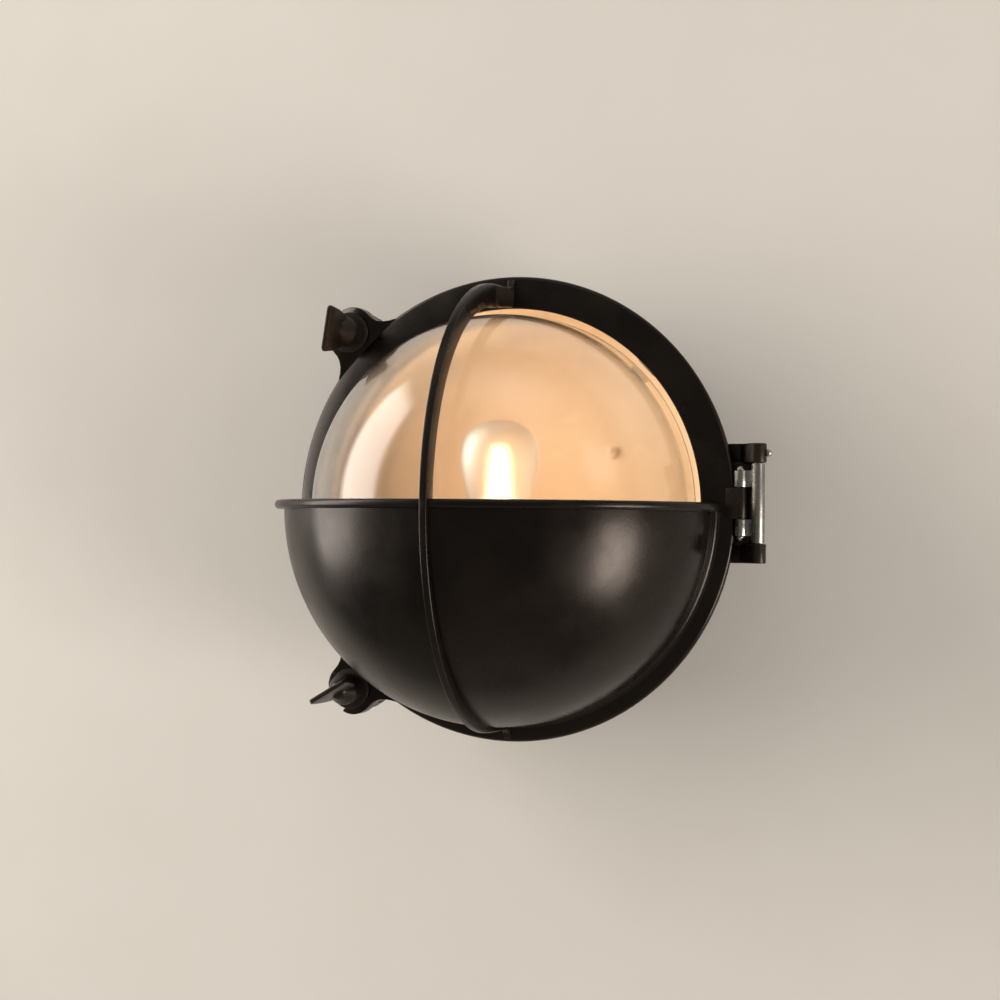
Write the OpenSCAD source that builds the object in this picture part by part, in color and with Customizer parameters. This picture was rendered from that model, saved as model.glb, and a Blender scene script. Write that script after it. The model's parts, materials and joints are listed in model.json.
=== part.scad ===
// Round bulkhead wall light with a half cover, a hinged front and two swing bolts.
// The origin is the middle of the wall face. X is right, Z is up and the front looks along -Y.

/* [Front ring] */
// Diameter of the ring at its front edge
ring_d = 210; // [188:2:240]
// Width of the ring's sloping face
ring_face_w = 15.1; // [14.6:0.1:15.8]
// How far the inner edge of the face stands in front of the outer edge
ring_rise = 3.6; // [3.2:0.1:5]
// Distance from the wall to the ring's outer front edge
ring_plane = 50; // [48:1:60]
// Height of the ring's side wall
ring_side_h = 3.5; // [3:0.5:4.5]
// How much smaller the ring is at its back than at its front edge
ring_draft = 0.7; // [0.3:0.1:1.2]
// Rounding of the ring's outer front edge
ring_round = 1.8; // [1:0.1:2.4]

/* [Half cover] */
// How far the widest place of the cover lies inside the ring's edge
cover_inset = 8.1; // [7:0.1:9]
// Distance from the ring's front edge to the widest place of the cover
cover_mid = 15.9; // [12:0.1:18]
// Reach of the cover in front of its widest place
cover_reach = 83; // [76:0.5:94]
// Wall of the cover
cover_t = 3; // [2:0.5:3.5]
// Height of the cover's top edge above the middle of the ring
cover_edge_up = 3; // [0:0.2:4]
// How far the rounded lip of the top edge stands out
lip_out = 4.8; // [2:0.1:5]
// How far the lip stands out at the front, less than the guard bar
lip_front = 1.4; // [0.8:0.1:1.9]
// Height of the lip
lip_h = 4; // [3:0.2:5]

/* [Guard bar] */
// Width of the guard bar seen from the front
bar_w = 3; // [2.4:0.2:6]
// Depth of the guard bar
bar_depth = 7.6; // [6:0.2:9]
// How far the widest place of the bar lies inside the ring's edge
bar_inset = 6.2; // [5.4:0.1:7]
// Distance from the ring's front edge to the widest place of the bar
bar_mid = 24.6; // [20:0.2:28]
// How far the bar stands out of the cover at the front
rib_out = 2.3; // [1:0.1:3]
// Height of the bar's foot on the face of the ring
bar_foot_h = 1.6; // [1:0.2:3]

/* [Glass dome] */
// How far the dome lies inside the ring's edge
glass_inset = 18.4; // [18:0.1:22]
// Distance from the ring's front edge to the place where the dome begins to close
glass_mid = 11; // [8:1:12]
// Reach of the dome in front of that place
glass_reach = 74; // [66:1:76]
// Wall of the glass
glass_t = 3; // [2.5:0.5:4]
// Thickness of the dome's flange
flange_t = 3.5; // [3:0.5:4.5]
// Width of the dome's flange
flange_w = 5; // [4:0.1:5]
// Thickness of the seal between flange and ring
seal_t = 1.5; // [1:0.1:2]
// Clearance of the flange in its pocket
flange_room = 0.5; // [0.3:0.1:0.8]

/* [Glass clips] */
// Number of clips round the ring
clip_count = 4; // [3:1:6]
// Width of a clip
clip_w = 10; // [8:1:14]
// Thickness of a clip
clip_t = 1.2; // [0.8:0.1:1.4]
// How far a clip reaches over the flange
clip_hold = 3.3; // [2:0.1:4]
// Distance from the flange to the clip screw
clip_screw_in = 3.1; // [3:0.1:3.4]
// Diameter of the clip screws
clip_screw_d = 3; // [2:0.5:3]

/* [Housing] */
// How far the rim lies inside the ring's edge
rim_inset = 2.5; // [1.5:0.1:3]
// How far the housing's side lies inside the rim
side_inset = 6; // [5:0.5:7]
// How much the housing narrows towards the wall
taper_in = 10.5; // [4:0.5:14]
// Width of the rim's sealing face
rim_w = 5; // [4.6:0.1:5.2]
// Depth of the rim
rim_h = 5; // [4:0.5:7]
// Wall of the housing
wall_t = 3.5; // [3:0.5:4]
// Thickness of the back
back_t = 4; // [3.5:0.5:5]
// Width of the gasket
gasket_w = 3.2; // [2.4:0.2:3.6]
// How far the gasket stands out of its groove
gasket_proud = 1.5; // [1:0.1:2]
// Depth of the gasket's groove
groove_depth = 1.5; // [1:0.1:2.5]

/* [Wall screws and cable] */
// Distance from the housing's edge at the wall to the wall screw holes
wall_screw_in = 21; // [15:1:26]
// Number of wall screw holes
wall_holes = 4; // [3:1:6]
// Diameter of the wall screw holes
wall_hole_d = 5.5; // [4.5:0.5:6.5]
// Distance from the housing's edge at the wall to the cable hole
cable_in = 30; // [28:1:36]
// Diameter of the cable hole
cable_hole_d = 16; // [12:1:18]
// Diameter of the passage in the grommet
cable_d = 8.4; // [6:0.2:10]

/* [Hinge] */
// Height of the hinge's middle above the middle of the ring
hinge_up = 3; // [0:0.2:4]
// Distance from the ring's edge to the inner pin
inner_pin_out = 1.6; // [1:0.1:3]
// Distance between the two hinge pins
pin_pitch = 7.8; // [7.2:0.1:9]
// Distance of both pins behind the ring's front edge
pin_behind = 1.5; // [1:0.1:2]
// Diameter of the hinge pins
hinge_pin_d = 3; // [2.5:0.1:3.2]
// Distance between the housing's lugs
lug_gap = 35.2; // [34:0.2:40]
// Thickness of a lug
lug_t = 8.5; // [7:0.5:10]
// Radius of a lug's round end
lug_r = 3.6; // [3.5:0.1:4.2]
// Radius of the link's outer barrel
outer_barrel_r = 2.9; // [2.6:0.1:3.1]
// Radius of the inner barrels and of the ring's knuckle
inner_barrel_r = 3; // [2.7:0.1:3.2]
// Height of the ring's knuckle
knuckle_h = 13.6; // [10:0.2:15]
// Height of a link arm
arm_h = 7.1; // [6:0.1:7.6]
// Thickness of a link arm
arm_t = 3.6; // [3:0.2:4.4]
// Diameter of the inner pin's heads
pin_head_d = 3.8; // [3.6:0.1:4.6]
// Height of the inner pin's heads
pin_head_h = 2; // [1:0.1:2.2]
// Diameter of the locking screw in the upper lug
lock_screw_d = 2.6; // [2:0.1:3]

/* [Swing bolts] */
// Bearing of the upper swing bolt, from the right and turning left
upper_bearing = 134.3; // [125:0.1:145]
// Bearing of the lower swing bolt
lower_bearing = 227.3; // [215:0.1:235]
// Distance from the ring's edge to the swing bolts
bolt_out = 8; // [7.5:0.1:9.5]
// Diameter of the swing bolts
bolt_d = 6; // [5:0.5:6]
// Half width of the ring's ears
ear_r = 12; // [11.5:0.5:14]
// Distance from the ring's front edge to the ear's face at the bolt
ear_rise = 3; // [2:0.1:4]
// Distance from the ear's face back to the bolt's pivot
pivot_behind = 23; // [21:0.5:24]
// Diameter of the bolt's pivot pin
pivot_d = 5; // [4:0.5:5]
// Radius of the bolt's eye
eye_r = 6.2; // [5.5:0.1:6.5]
// Thickness of the bolt's eye
eye_t = 6; // [5:0.5:8]
// Thickness of each lug that carries the eye
cheek_t = 4.5; // [3.5:0.5:6]
// Length of bolt in front of the washer
bolt_end = 12; // [9:0.5:13]
// Diameter of the washers
washer_d = 18.5; // [15:0.5:19]
// Thickness of the washers
washer_t = 1.2; // [0.8:0.1:2]

/* [Wing nuts] */
// Diameter of the nut's barrel
nut_d = 14; // [11:0.5:15]
// Height of the nut's barrel
nut_h = 9; // [7:0.5:11]
// Length of the nut with its spade
nut_len = 24.4; // [22:0.2:28]
// Width of the spade at its end
spade_w = 21; // [18:0.5:22]
// Thickness of the spade
spade_t = 3.6; // [3:0.2:5]
// Direction of the upper spade
upper_spade = 81.5; // [0:0.5:180]
// Direction of the lower spade
lower_spade = 30.5; // [0:0.5:180]

/* [Reflector and lamp] */
// Distance from the wall to the reflector's floor
pan_plane = 20; // [18:1:24]
// Thickness of the reflector sheet
pan_t = 1; // [0.8:0.1:1.5]
// Width of the reflector's curved side
pan_side_w = 20.2; // [18:0.2:22]
// Distance from the middle to the reflector screws
pan_screw_r = 46.8; // [44:0.2:52]
// Bearing of the upper reflector screw
pan_screw_bearing = 34; // [28:1:44]
// Diameter of the small machine screws
screw_d = 3; // [2.5:0.5:4]
// Diameter of the posts that the small screws go into
post_d = 9; // [7:0.5:11]
// Distance from the wall to the middle of the bulb
lamp_plane = 64; // [60:1:68]
// Distance from the edge of the reflector's floor to the bracket's arm
arm_in = 5; // [4:0.5:9]
// Width of the bracket
bracket_w = 28; // [24:1:32]
// Thickness of the bracket
bracket_t = 2; // [1.5:0.5:3]
// Height of the bracket's foot
foot_h = 24; // [20:1:26]
// Distance between the bracket's two screws
foot_pitch = 16; // [14:1:17]
// Diameter of the lampholder
holder_d = 28; // [26:1:30]
// Height of the lampholder
holder_h = 40; // [36:1:42]
// Diameter of the lampholder's threaded tail
tail_d = 10; // [8:0.5:11]
// Diameter of the bulb's cap
cap_d = 13.6; // [12:0.2:14]
// Height of the bulb's cap
cap_h = 19; // [17:0.5:21]
// Diameter of the bulb
bulb_d = 35; // [32:1:37]
// Height of the bulb's glass above its cap
bulb_h = 77; // [72:1:80]

/* [Wiring] */
// Width of the terminal block, which has two poles
block_w = 16; // [12:1:18]
// Height of the terminal block
block_h = 16; // [12:1:18]
// Depth of the terminal block
block_t = 11; // [9:0.5:12]
// Diameter of the lamp leads
lead_d = 2.2; // [1.6:0.2:2.6]

/* [Hidden] */
// Clearances
through = ring_d;
run_fit = 0.06;
pin_fit = 0.02;
side_gap = 0.3;
seat_gap = 0.1;
sheet_gap = 0.3;

// Ring and cover
ring_r = ring_d / 2;
ring_in = ring_r - ring_face_w;
ring_back = ring_plane - ring_side_h;
ring_front = ring_plane + ring_rise;
edge_break = 0.8;
ring_lap = ring_rise * 0.45;
cover_r = ring_r - cover_inset;
cover_centre = ring_plane + cover_mid;
bar_centre = ring_plane + bar_mid;
bar_r = ring_r - bar_inset;
bar_reach = cover_mid + cover_reach + rib_out - bar_mid;

// Glass, seal and clips
glass_r = ring_r - glass_inset;
glass_centre = ring_plane + glass_mid;
flange_r = glass_r + flange_w;
pocket_r = flange_r + flange_room;
flange_front = ring_back + flange_t;
pocket_floor = flange_front + seal_t;
clip_screw_r = flange_r + clip_screw_in;
clip_in = flange_r - clip_hold;
clip_out = clip_screw_r + clip_screw_d / 2 + 0.8;
clip_head_r = clip_screw_d * 0.88;
clip_head_h = clip_screw_d * 0.55;
clip_thread = 4.6;

// Housing
rim_plane = ring_back - gasket_proud;
rim_r = ring_r - rim_inset;
rim_in = rim_r - rim_w;
side_r = rim_r - side_inset;
back_r = side_r - taper_in;
wall_pcd = 2 * (back_r - wall_screw_in);
cable_up = back_r - cable_in;
groove_r = rim_in + (rim_w - gasket_w) / 2;
rim_back = rim_plane - rim_h;
shoulder_h = 4;
floor_round = 4;
back_break = 1.5;
cable_boss_t = 2.5;
grommet_lip = 2.4;
grommet_lip_t = 1.8;
grommet_recess = grommet_lip_t + 0.4;

// Hinge
pin_plane = ring_plane - pin_behind;
inner_pin_x = ring_r + inner_pin_out;
outer_pin_x = inner_pin_x + pin_pitch;
hinge_pin_r = hinge_pin_d / 2;
arm_low = knuckle_h / 2 + side_gap;
lug_low = lug_gap / 2;
ring_room = 0.8;
notch_room = 0.5;
lock_z = hinge_up + lug_low + lug_t / 2;

// Swing bolts
bolt_s = ring_r + bolt_out;
bolt_r = bolt_d / 2;
ear_face = ring_plane + ear_rise;
pivot_plane = ear_face - pivot_behind;
slot_r = bolt_r + side_gap;
washer_plane = ear_face + side_gap;
nut_seat = washer_plane + washer_t + seat_gap;
eye_gap = eye_t + 2 * side_gap;
cheek_low = eye_gap / 2;
bearings = [upper_bearing, lower_bearing];
rivet_h = 1.2;

// Reflector, bracket and lamp
pan_front = pan_plane + pan_t;
pan_rim_plane = rim_back + 0.4;
pan_rim_r = side_r - wall_t - 0.8;
pan_flange_r = rim_in - 1.3;
pan_floor_r = pan_rim_r - pan_side_w;
arm_down = pan_floor_r - arm_in;
screw_r = screw_d / 2;
head_r = screw_d * 0.93;
head_h = screw_d * 0.6;
screw_len = 8;
bracket_front = pan_front + bracket_t;
arm_z = -arm_down;
holder_z = arm_z + bracket_t;
foot_screw_z = arm_z + foot_h * 0.68;
holder_r = holder_d / 2;
tail_r = tail_d / 2;
tail_len = 9;
socket_z = holder_z + holder_h - cap_h;
bulb_z = holder_z + holder_h + 0.8;
socket_r = cap_d / 2 + side_gap;
bulb_r = bulb_d / 2;
bulb_t = 0.8;
neck_r = cap_d / 2 - 0.6;
lead_z = holder_z + holder_h * 0.78;
poles = 2;
lead_pitch = block_w / poles;
lead_plane = back_t + block_t * 0.45;
lead_bend = 5;
lead_in = 3;
lead_hole_r = lead_pitch / 2 + lead_d / 2 + 1;
cable_boss_r = cable_hole_d / 2 + 5;
block_up = cable_up - cable_boss_r - 1 - block_h;
wire_r = 1.8;
earth_x = -32;
earth_z = 42;

iron = [0.13, 0.12, 0.11];
steel = [0.62, 0.62, 0.60];
brass = [0.72, 0.60, 0.32];
cream = [0.93, 0.90, 0.84];
dark_rubber = [0.09, 0.09, 0.09];

// Points on a quarter of an ellipse, from the widest place to the tip
function quarter(r, reach, centre, steps = 48, turn = 0) = [
    for (i = [0 : steps])
        let (a = turn + (90 - turn) * i / steps)
        [max(r * cos(a), 0), centre + reach * sin(a)]
];
function reversed(list) = [for (i = [len(list) - 1 : -1 : 0]) list[i]];
// Where an ellipse of this size passes the distance d from the wall, as an angle
function turn_at(d, reach, centre) = asin((d - centre) / reach);

// Local axes with x right, y up and z away from the wall
module from_wall() {
    rotate([90, 0, 0]) children();
}

// The same axes turned so that x points outwards at a bearing
module at_bearing(bearing) {
    from_wall() rotate([0, 0, bearing]) children();
}

// A plan outline of x and distance from the wall, standing from z to z + h
module standing(z, h) {
    translate([0, 0, z]) mirror([0, 1, 0]) linear_extrude(h) children();
}

// A side outline of height and distance from the wall, centred on x = 0
module side_view(w) {
    rotate(a = 180, v = [1, 0, 1]) translate([0, 0, -w / 2]) linear_extrude(w) children();
}

// An outline of radius and distance from the wall, centred on the bearing's middle plane
module radial_view(w, offset = 0) {
    translate([0, offset, 0]) rotate([90, 0, 0]) translate([0, 0, -w / 2]) linear_extrude(w) children();
}

// A round bar of radius r, upright, at x and a distance from the wall
module upright(x, d, z, h, r) {
    translate([x, -d, z]) cylinder(r = r, h = h, $fn = 48);
}

// A screw with a domed head, the underside of the head at z = 0 and the shank along -z
module dome_screw(shank_r, length, cap_r, cap_h) {
    slot_w = cap_r * 0.28;
    difference() {
        union() {
            translate([0, 0, -length]) cylinder(r = shank_r, h = length, $fn = 32);
            rotate_extrude($fn = 48) polygon([
                [0, 0], [cap_r, 0], [cap_r, cap_h * 0.4], [cap_r * 0.86, cap_h * 0.75],
                [cap_r * 0.55, cap_h * 0.96], [0, cap_h]
            ]);
        }
        translate([-cap_r, -slot_w / 2, cap_h * 0.5]) cube([2 * cap_r, slot_w, cap_h]);
    }
}

module housing_outside() {
    rotate_extrude($fn = 144) polygon([
        [0, 0], [back_r - back_break, 0], [back_r, back_break],
        [side_r, rim_back - shoulder_h], [rim_r - 1, rim_back], [rim_r, rim_back + 1],
        [rim_r, rim_plane - 0.5], [rim_r - 0.5, rim_plane], [0, rim_plane]
    ]);
}

module housing_inside() {
    rotate_extrude($fn = 144) polygon([
        [0, back_t], [back_r - wall_t - floor_round, back_t],
        [back_r - wall_t - floor_round * 0.3, back_t + floor_round * 0.3],
        [back_r - wall_t + 0.4, back_t + floor_round],
        [side_r - wall_t, rim_back - shoulder_h + 2], [rim_in, rim_back + 1],
        [rim_in, rim_plane + 1], [0, rim_plane + 1]
    ]);
}

module hinge_lug_outline() {
    translate([outer_pin_x, pin_plane]) circle(r = lug_r, $fn = 64);
    polygon([
        [side_r - wall_t - 12, rim_back - 13], [side_r - wall_t - 12, rim_plane],
        [ring_r + ring_room, rim_plane],
        [outer_pin_x + lug_r * cos(125), pin_plane + lug_r * sin(125)],
        [outer_pin_x, pin_plane],
        [outer_pin_x + lug_r * cos(-20), pin_plane + lug_r * sin(-20)],
        [outer_pin_x - 1, rim_plane - 5]
    ]);
}

// The hinge's back, between the lugs and behind the link
module hinge_web_outline() {
    polygon([
        [side_r - wall_t - 12, rim_back - 12], [side_r - wall_t - 12, rim_plane],
        [outer_pin_x + 1, rim_plane], [outer_pin_x - 1.5, rim_plane - 4.5]
    ]);
}

module bolt_lug_outline() {
    translate([bolt_s, pivot_plane]) circle(r = eye_r + 0.4, $fn = 64);
    polygon([
        [side_r - wall_t - 4, pivot_plane - 15], [side_r - wall_t - 4, rim_plane - 3],
        [rim_r - 1, rim_plane - 3],
        [bolt_s + (eye_r + 0.4) * cos(70), pivot_plane + (eye_r + 0.4) * sin(70)],
        [bolt_s + (eye_r + 0.4) * cos(-60), pivot_plane + (eye_r + 0.4) * sin(-60)]
    ]);
}

module post_at(x, y, top) {
    translate([x, y, back_t - 0.5]) cylinder(r1 = post_d / 2 + 0.8, r2 = post_d / 2, h = top - back_t + 0.5, $fn = 48);
}

module housing() {
    color(iron) difference() {
        union() {
            difference() {
                union() {
                    from_wall() housing_outside();
                    for (low = [-lug_low - lug_t, lug_low])
                        standing(hinge_up + low, lug_t) hinge_lug_outline();
                    standing(hinge_up - lug_low - 1, lug_gap + 2) hinge_web_outline();
                    for (bearing = bearings, side = [-1, 1])
                        at_bearing(bearing) radial_view(cheek_t, side * (cheek_low + cheek_t / 2))
                            bolt_lug_outline();
                }
                from_wall() housing_inside();
                from_wall() translate([0, 0, rim_plane]) cylinder(r = ring_r + ring_room, h = through, $fn = 144);
            }
            from_wall() {
                for (turn = [0, 180])
                    rotate([0, 0, pan_screw_bearing + turn]) post_at(pan_screw_r, 0, pan_plane);
                for (side = [-1, 1])
                    post_at(side * foot_pitch / 2, foot_screw_z, pan_plane);
                post_at(earth_x, earth_z, back_t + 6);
                translate([0, cable_up, 0])
                    cylinder(r = cable_boss_r, h = back_t + cable_boss_t, $fn = 64);
            }
        }
        from_wall() {
            rotate_extrude($fn = 144) translate([groove_r, rim_plane - groove_depth])
                square([gasket_w, groove_depth + 1]);
            for (i = [0 : wall_holes - 1])
                rotate([0, 0, 45 + i * 360 / wall_holes]) translate([wall_pcd / 2, 0, -1])
                    cylinder(r = wall_hole_d / 2, h = back_t + 2, $fn = 48);
            for (turn = [0, 180])
                rotate([0, 0, pan_screw_bearing + turn]) screw_hole(pan_screw_r, 0, pan_plane);
            for (side = [-1, 1])
                screw_hole(side * foot_pitch / 2, foot_screw_z, pan_plane);
            screw_hole(earth_x, earth_z, back_t + 6);
            translate([0, cable_up, -1]) {
                cylinder(r = cable_hole_d / 2, h = back_t + cable_boss_t + 2, $fn = 64);
                cylinder(r = cable_hole_d / 2 + grommet_lip + 0.6, h = grommet_recess + 1, $fn = 64);
            }
        }
        for (low = [-lug_low - lug_t, lug_low])
            upright(outer_pin_x, pin_plane, hinge_up + low - 1, lug_t + 2, hinge_pin_r + pin_fit);
        translate([outer_pin_x, -pin_plane, lock_z]) rotate([0, 90, 0])
            cylinder(r = lock_screw_d / 2 + pin_fit, h = lug_r + 2, $fn = 32);
        for (bearing = bearings)
            at_bearing(bearing) translate([bolt_s, 0, pivot_plane]) rotate([90, 0, 0])
                cylinder(r = pivot_d / 2 + pin_fit, h = 4 * (cheek_low + cheek_t), center = true, $fn = 48);
    }
}

module screw_hole(x, y, top) {
    translate([x, y, top - screw_len - 1.5]) cylinder(r = screw_r + pin_fit, h = screw_len + 3, $fn = 32);
}

module housing_gasket() {
    color(dark_rubber) from_wall() rotate_extrude($fn = 144)
        translate([groove_r, rim_plane - groove_depth]) square([gasket_w, groove_depth + gasket_proud]);
}

module cable_grommet() {
    neck = cable_hole_d / 2;
    lip = neck + grommet_lip;
    low = grommet_recess;
    high = back_t + cable_boss_t;
    color(dark_rubber) from_wall() translate([0, cable_up, 0]) difference() {
        rotate_extrude($fn = 64) polygon([
            [cable_d / 2, 0.3], [lip - 0.6, 0.3], [lip, 0.9], [lip, low], [neck, low],
            [neck, high], [lip, high], [lip - 1, high + grommet_lip_t], [cable_d / 2, high + grommet_lip_t]
        ]);
    }
}

module terminal_block() {
    pitch = lead_pitch;
    color(cream) from_wall() translate([-block_w / 2, block_up, back_t]) difference() {
        union() {
            cube([block_w, block_h, block_t * 0.6]);
            for (i = [0 : poles - 1])
                translate([i * pitch + 1, 1, 0]) cube([pitch - 2, block_h - 2, block_t]);
        }
        for (i = [0 : poles - 1]) {
            translate([(i + 0.5) * pitch, -1, lead_plane - back_t])
                rotate([-90, 0, 0]) cylinder(r = wire_r, h = block_h + 2, $fn = 32);
            for (y = [block_h * 0.28, block_h * 0.72])
                translate([(i + 0.5) * pitch, y, block_t * 0.5]) cylinder(r = 1.6, h = block_t, $fn = 32);
        }
    }
}

module earth_screw() {
    top = back_t + 6;
    color(brass) from_wall() translate([earth_x, earth_z, top]) {
        difference() {
            cylinder(r = head_r + 1.6, h = 0.8, $fn = 48);
            translate([0, 0, -1]) cylinder(r = screw_r, h = 3, $fn = 32);
        }
        translate([0, 0, 0.8]) dome_screw(screw_r, screw_len, head_r, head_h);
    }
}

module reflector() {
    color(cream) from_wall() difference() {
        rotate_extrude($fn = 144) polygon(concat(
            [[0, pan_plane]],
            pan_curve(0),
            [[pan_flange_r, pan_rim_plane], [pan_flange_r, pan_rim_plane + pan_t],
             [pan_rim_r - pan_t, pan_rim_plane + pan_t]],
            reversed(pan_curve(pan_t)),
            [[0, pan_front]]
        ));
        for (turn = [0, 180])
            rotate([0, 0, pan_screw_bearing + turn]) sheet_hole(pan_screw_r, 0);
        for (side = [-1, 1])
            sheet_hole(side * foot_pitch / 2, foot_screw_z);
        translate([0, lead_z, pan_plane - 1]) cylinder(r = lead_hole_r, h = pan_t + 2, $fn = 48);
    }
}

// The reflector's side, from the flat floor to the rim, on its back or one sheet further in
function pan_curve(inwards, steps = 14) = [
    for (i = [0 : steps])
        let (a = 90 * i / steps)
        [pan_floor_r + (pan_rim_r - inwards - pan_floor_r) * sin(a),
         pan_plane + (pan_rim_plane - pan_plane) * (1 - cos(a)) + inwards * cos(a)]
];

module sheet_hole(x, y) {
    translate([x, y, pan_plane - 1]) cylinder(r = screw_r + 0.2, h = pan_t + 2, $fn = 32);
}

module reflector_screws() {
    color(cream) from_wall() for (turn = [0, 180])
        rotate([0, 0, pan_screw_bearing + turn]) translate([pan_screw_r, 0, pan_front])
            dome_screw(screw_r, screw_len, head_r, head_h);
}

module lampholder_bracket() {
    arm_end = lamp_plane + holder_r;
    color(steel) difference() {
        side_view(bracket_w) polygon([
            [arm_z + 1, pan_front], [arm_z + foot_h, pan_front], [arm_z + foot_h, bracket_front],
            [arm_z + bracket_t + 1.5, bracket_front], [arm_z + bracket_t, bracket_front + 1.5],
            [arm_z + bracket_t, arm_end], [arm_z, arm_end], [arm_z, pan_front + 1]
        ]);
        upright(0, lamp_plane, arm_z - 1, bracket_t + 2, tail_r + 0.2);
        from_wall() for (side = [-1, 1])
            translate([side * foot_pitch / 2, foot_screw_z, pan_plane])
                cylinder(r = screw_r + 0.2, h = bracket_t + 4, $fn = 32);
    }
}

module bracket_screws() {
    color(steel) from_wall() for (side = [-1, 1])
        translate([side * foot_pitch / 2, foot_screw_z, bracket_front])
            dome_screw(screw_r, screw_len, head_r, head_h);
}

module lampholder() {
    color(cream) difference() {
        translate([0, -lamp_plane, 0]) rotate_extrude($fn = 72) polygon([
            [0, holder_z - tail_len], [tail_r, holder_z - tail_len], [tail_r, holder_z],
            [holder_r * 0.72, holder_z], [holder_r * 0.8, holder_z + 2],
            [holder_r * 0.8, holder_z + 7], [holder_r - 0.6, holder_z + 10],
            [holder_r, holder_z + 11], [holder_r, holder_z + holder_h * 0.62],
            [holder_r - 1.2, holder_z + holder_h * 0.66], [holder_r - 1.2, holder_z + holder_h - 1],
            [holder_r - 2.2, holder_z + holder_h], [socket_r, holder_z + holder_h],
            [socket_r, socket_z], [0, socket_z]
        ]);
        for (side = [-1, 1])
            translate([side * lead_pitch / 2, -lamp_plane, lead_z]) rotate([-90, 0, 0])
                translate([0, 0, socket_r + 1.5])
                    cylinder(r = lead_d / 2 + side_gap, h = holder_r, $fn = 32);
    }
}

module holder_nut() {
    color(brass) translate([0, -lamp_plane, arm_z - 4]) difference() {
        cylinder(r = tail_r * 1.7, h = 4, $fn = 6);
        translate([0, 0, -1]) cylinder(r = tail_r + pin_fit, h = 6, $fn = 48);
    }
}

module lamp_leads() {
    color(dark_rubber) for (side = [-1, 1])
        translate([side * lead_pitch / 2, 0, 0]) {
            translate([0, -lead_plane, lead_z + lead_bend])
                cylinder(r = lead_d / 2, h = block_up + lead_in - lead_z - lead_bend, $fn = 32);
            translate([0, -lead_plane - lead_bend, lead_z + lead_bend]) rotate([0, 90, 0])
                rotate_extrude(angle = 90, $fn = 48) translate([lead_bend, 0])
                    circle(r = lead_d / 2, $fn = 32);
            translate([0, -lead_plane - lead_bend, lead_z]) rotate([90, 0, 0])
                cylinder(r = lead_d / 2, h = lamp_plane - socket_r - 2 - lead_plane - lead_bend, $fn = 32);
        }
}

module bulb_cap() {
    color(brass) translate([0, -lamp_plane, socket_z]) rotate_extrude($fn = 64) polygon([
        [0, 0], [3, 0], [3.6, 1.4], [cap_d / 2 - 0.8, 3], [cap_d / 2, 4.2], [cap_d / 2 - 0.5, 5.6],
        [cap_d / 2, 7], [cap_d / 2 - 0.5, 8.4], [cap_d / 2, 9.8], [cap_d / 2 - 0.5, 11.2],
        [cap_d / 2, 12.6], [cap_d / 2, bulb_z - socket_z], [0, bulb_z - socket_z]
    ]);
}

// The candle shape: radius at a height above the cap
function bulb_points(r, h, low = 0) = [
    [neck_r - (bulb_r - r), low], [neck_r + 1 - (bulb_r - r), h * 0.05], [r * 0.62, h * 0.12],
    [r * 0.83, h * 0.2], [r * 0.95, h * 0.28], [r, h * 0.36], [r * 0.985, h * 0.44],
    [r * 0.92, h * 0.53], [r * 0.81, h * 0.62], [r * 0.66, h * 0.71], [r * 0.49, h * 0.79],
    [r * 0.32, h * 0.87], [r * 0.19, h * 0.93], [r * 0.1, h * 0.98], [0, h]
];

module bulb_glass() {
    color([0.95, 0.92, 0.85, 0.4]) translate([0, -lamp_plane, bulb_z]) rotate_extrude($fn = 72)
        polygon(concat(bulb_points(bulb_r, bulb_h), reversed(bulb_points(bulb_r - bulb_t, bulb_h - bulb_t))));
}

module bulb_filament() {
    rods = 4;
    rod_low = bulb_h * 0.26;
    rod_len = bulb_h * 0.4;
    rod_out = bulb_r * 0.27;
    color([1, 0.75, 0.4]) translate([0, -lamp_plane, bulb_z]) {
        cylinder(r1 = 3.4, r2 = 2, h = bulb_h * 0.16, $fn = 32);
        cylinder(r = 0.6, h = rod_low + rod_len, $fn = 24);
        for (z = [rod_low, rod_low + rod_len])
            translate([0, 0, z - 0.5]) cylinder(r = rod_out + 1.4, h = 0.6, $fn = 32);
        for (i = [0 : rods - 1])
            rotate([0, 0, 45 + i * 360 / rods]) translate([rod_out, 0, rod_low])
                cylinder(r = 0.8, h = rod_len, $fn = 24);
    }
}

module hinge_outer_pin() {
    inset = 0.4;
    color(steel) upright(outer_pin_x, pin_plane, hinge_up - lug_low - lug_t + inset,
        2 * (lug_low + lug_t - inset), hinge_pin_r);
}

module hinge_locking_screw() {
    shank = lug_r - hinge_pin_r - 0.1;
    cap = lock_screw_d * 0.6;
    cap_h = lock_screw_d * 0.95;
    color(steel) translate([outer_pin_x + lug_r, -pin_plane, lock_z]) rotate([0, 90, 0]) {
        translate([0, 0, -shank]) cylinder(r = lock_screw_d / 2, h = shank + 0.2, $fn = 32);
        rotate_extrude($fn = 40) polygon([
            [0, 0], [cap, 0], [cap, cap_h * 0.45], [cap * 0.86, cap_h * 0.72], [cap * 0.5, cap_h * 0.94], [0, cap_h]
        ]);
    }
}

module bolt_pivot_pin(bearing) {
    half = cheek_low + cheek_t;
    color(iron) at_bearing(bearing) translate([bolt_s, 0, pivot_plane]) rotate([90, 0, 0]) {
        cylinder(r = pivot_d / 2, h = 2 * half, center = true, $fn = 48);
        for (side = [-1, 1])
            translate([0, 0, side * (half + rivet_h / 2)])
                cylinder(r = pivot_d / 2 + 0.9, h = rivet_h, center = true, $fn = 48);
    }
}

module bolt_pivot_pin_upper() {
    bolt_pivot_pin(upper_bearing);
}

module bolt_pivot_pin_lower() {
    bolt_pivot_pin(lower_bearing);
}

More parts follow.
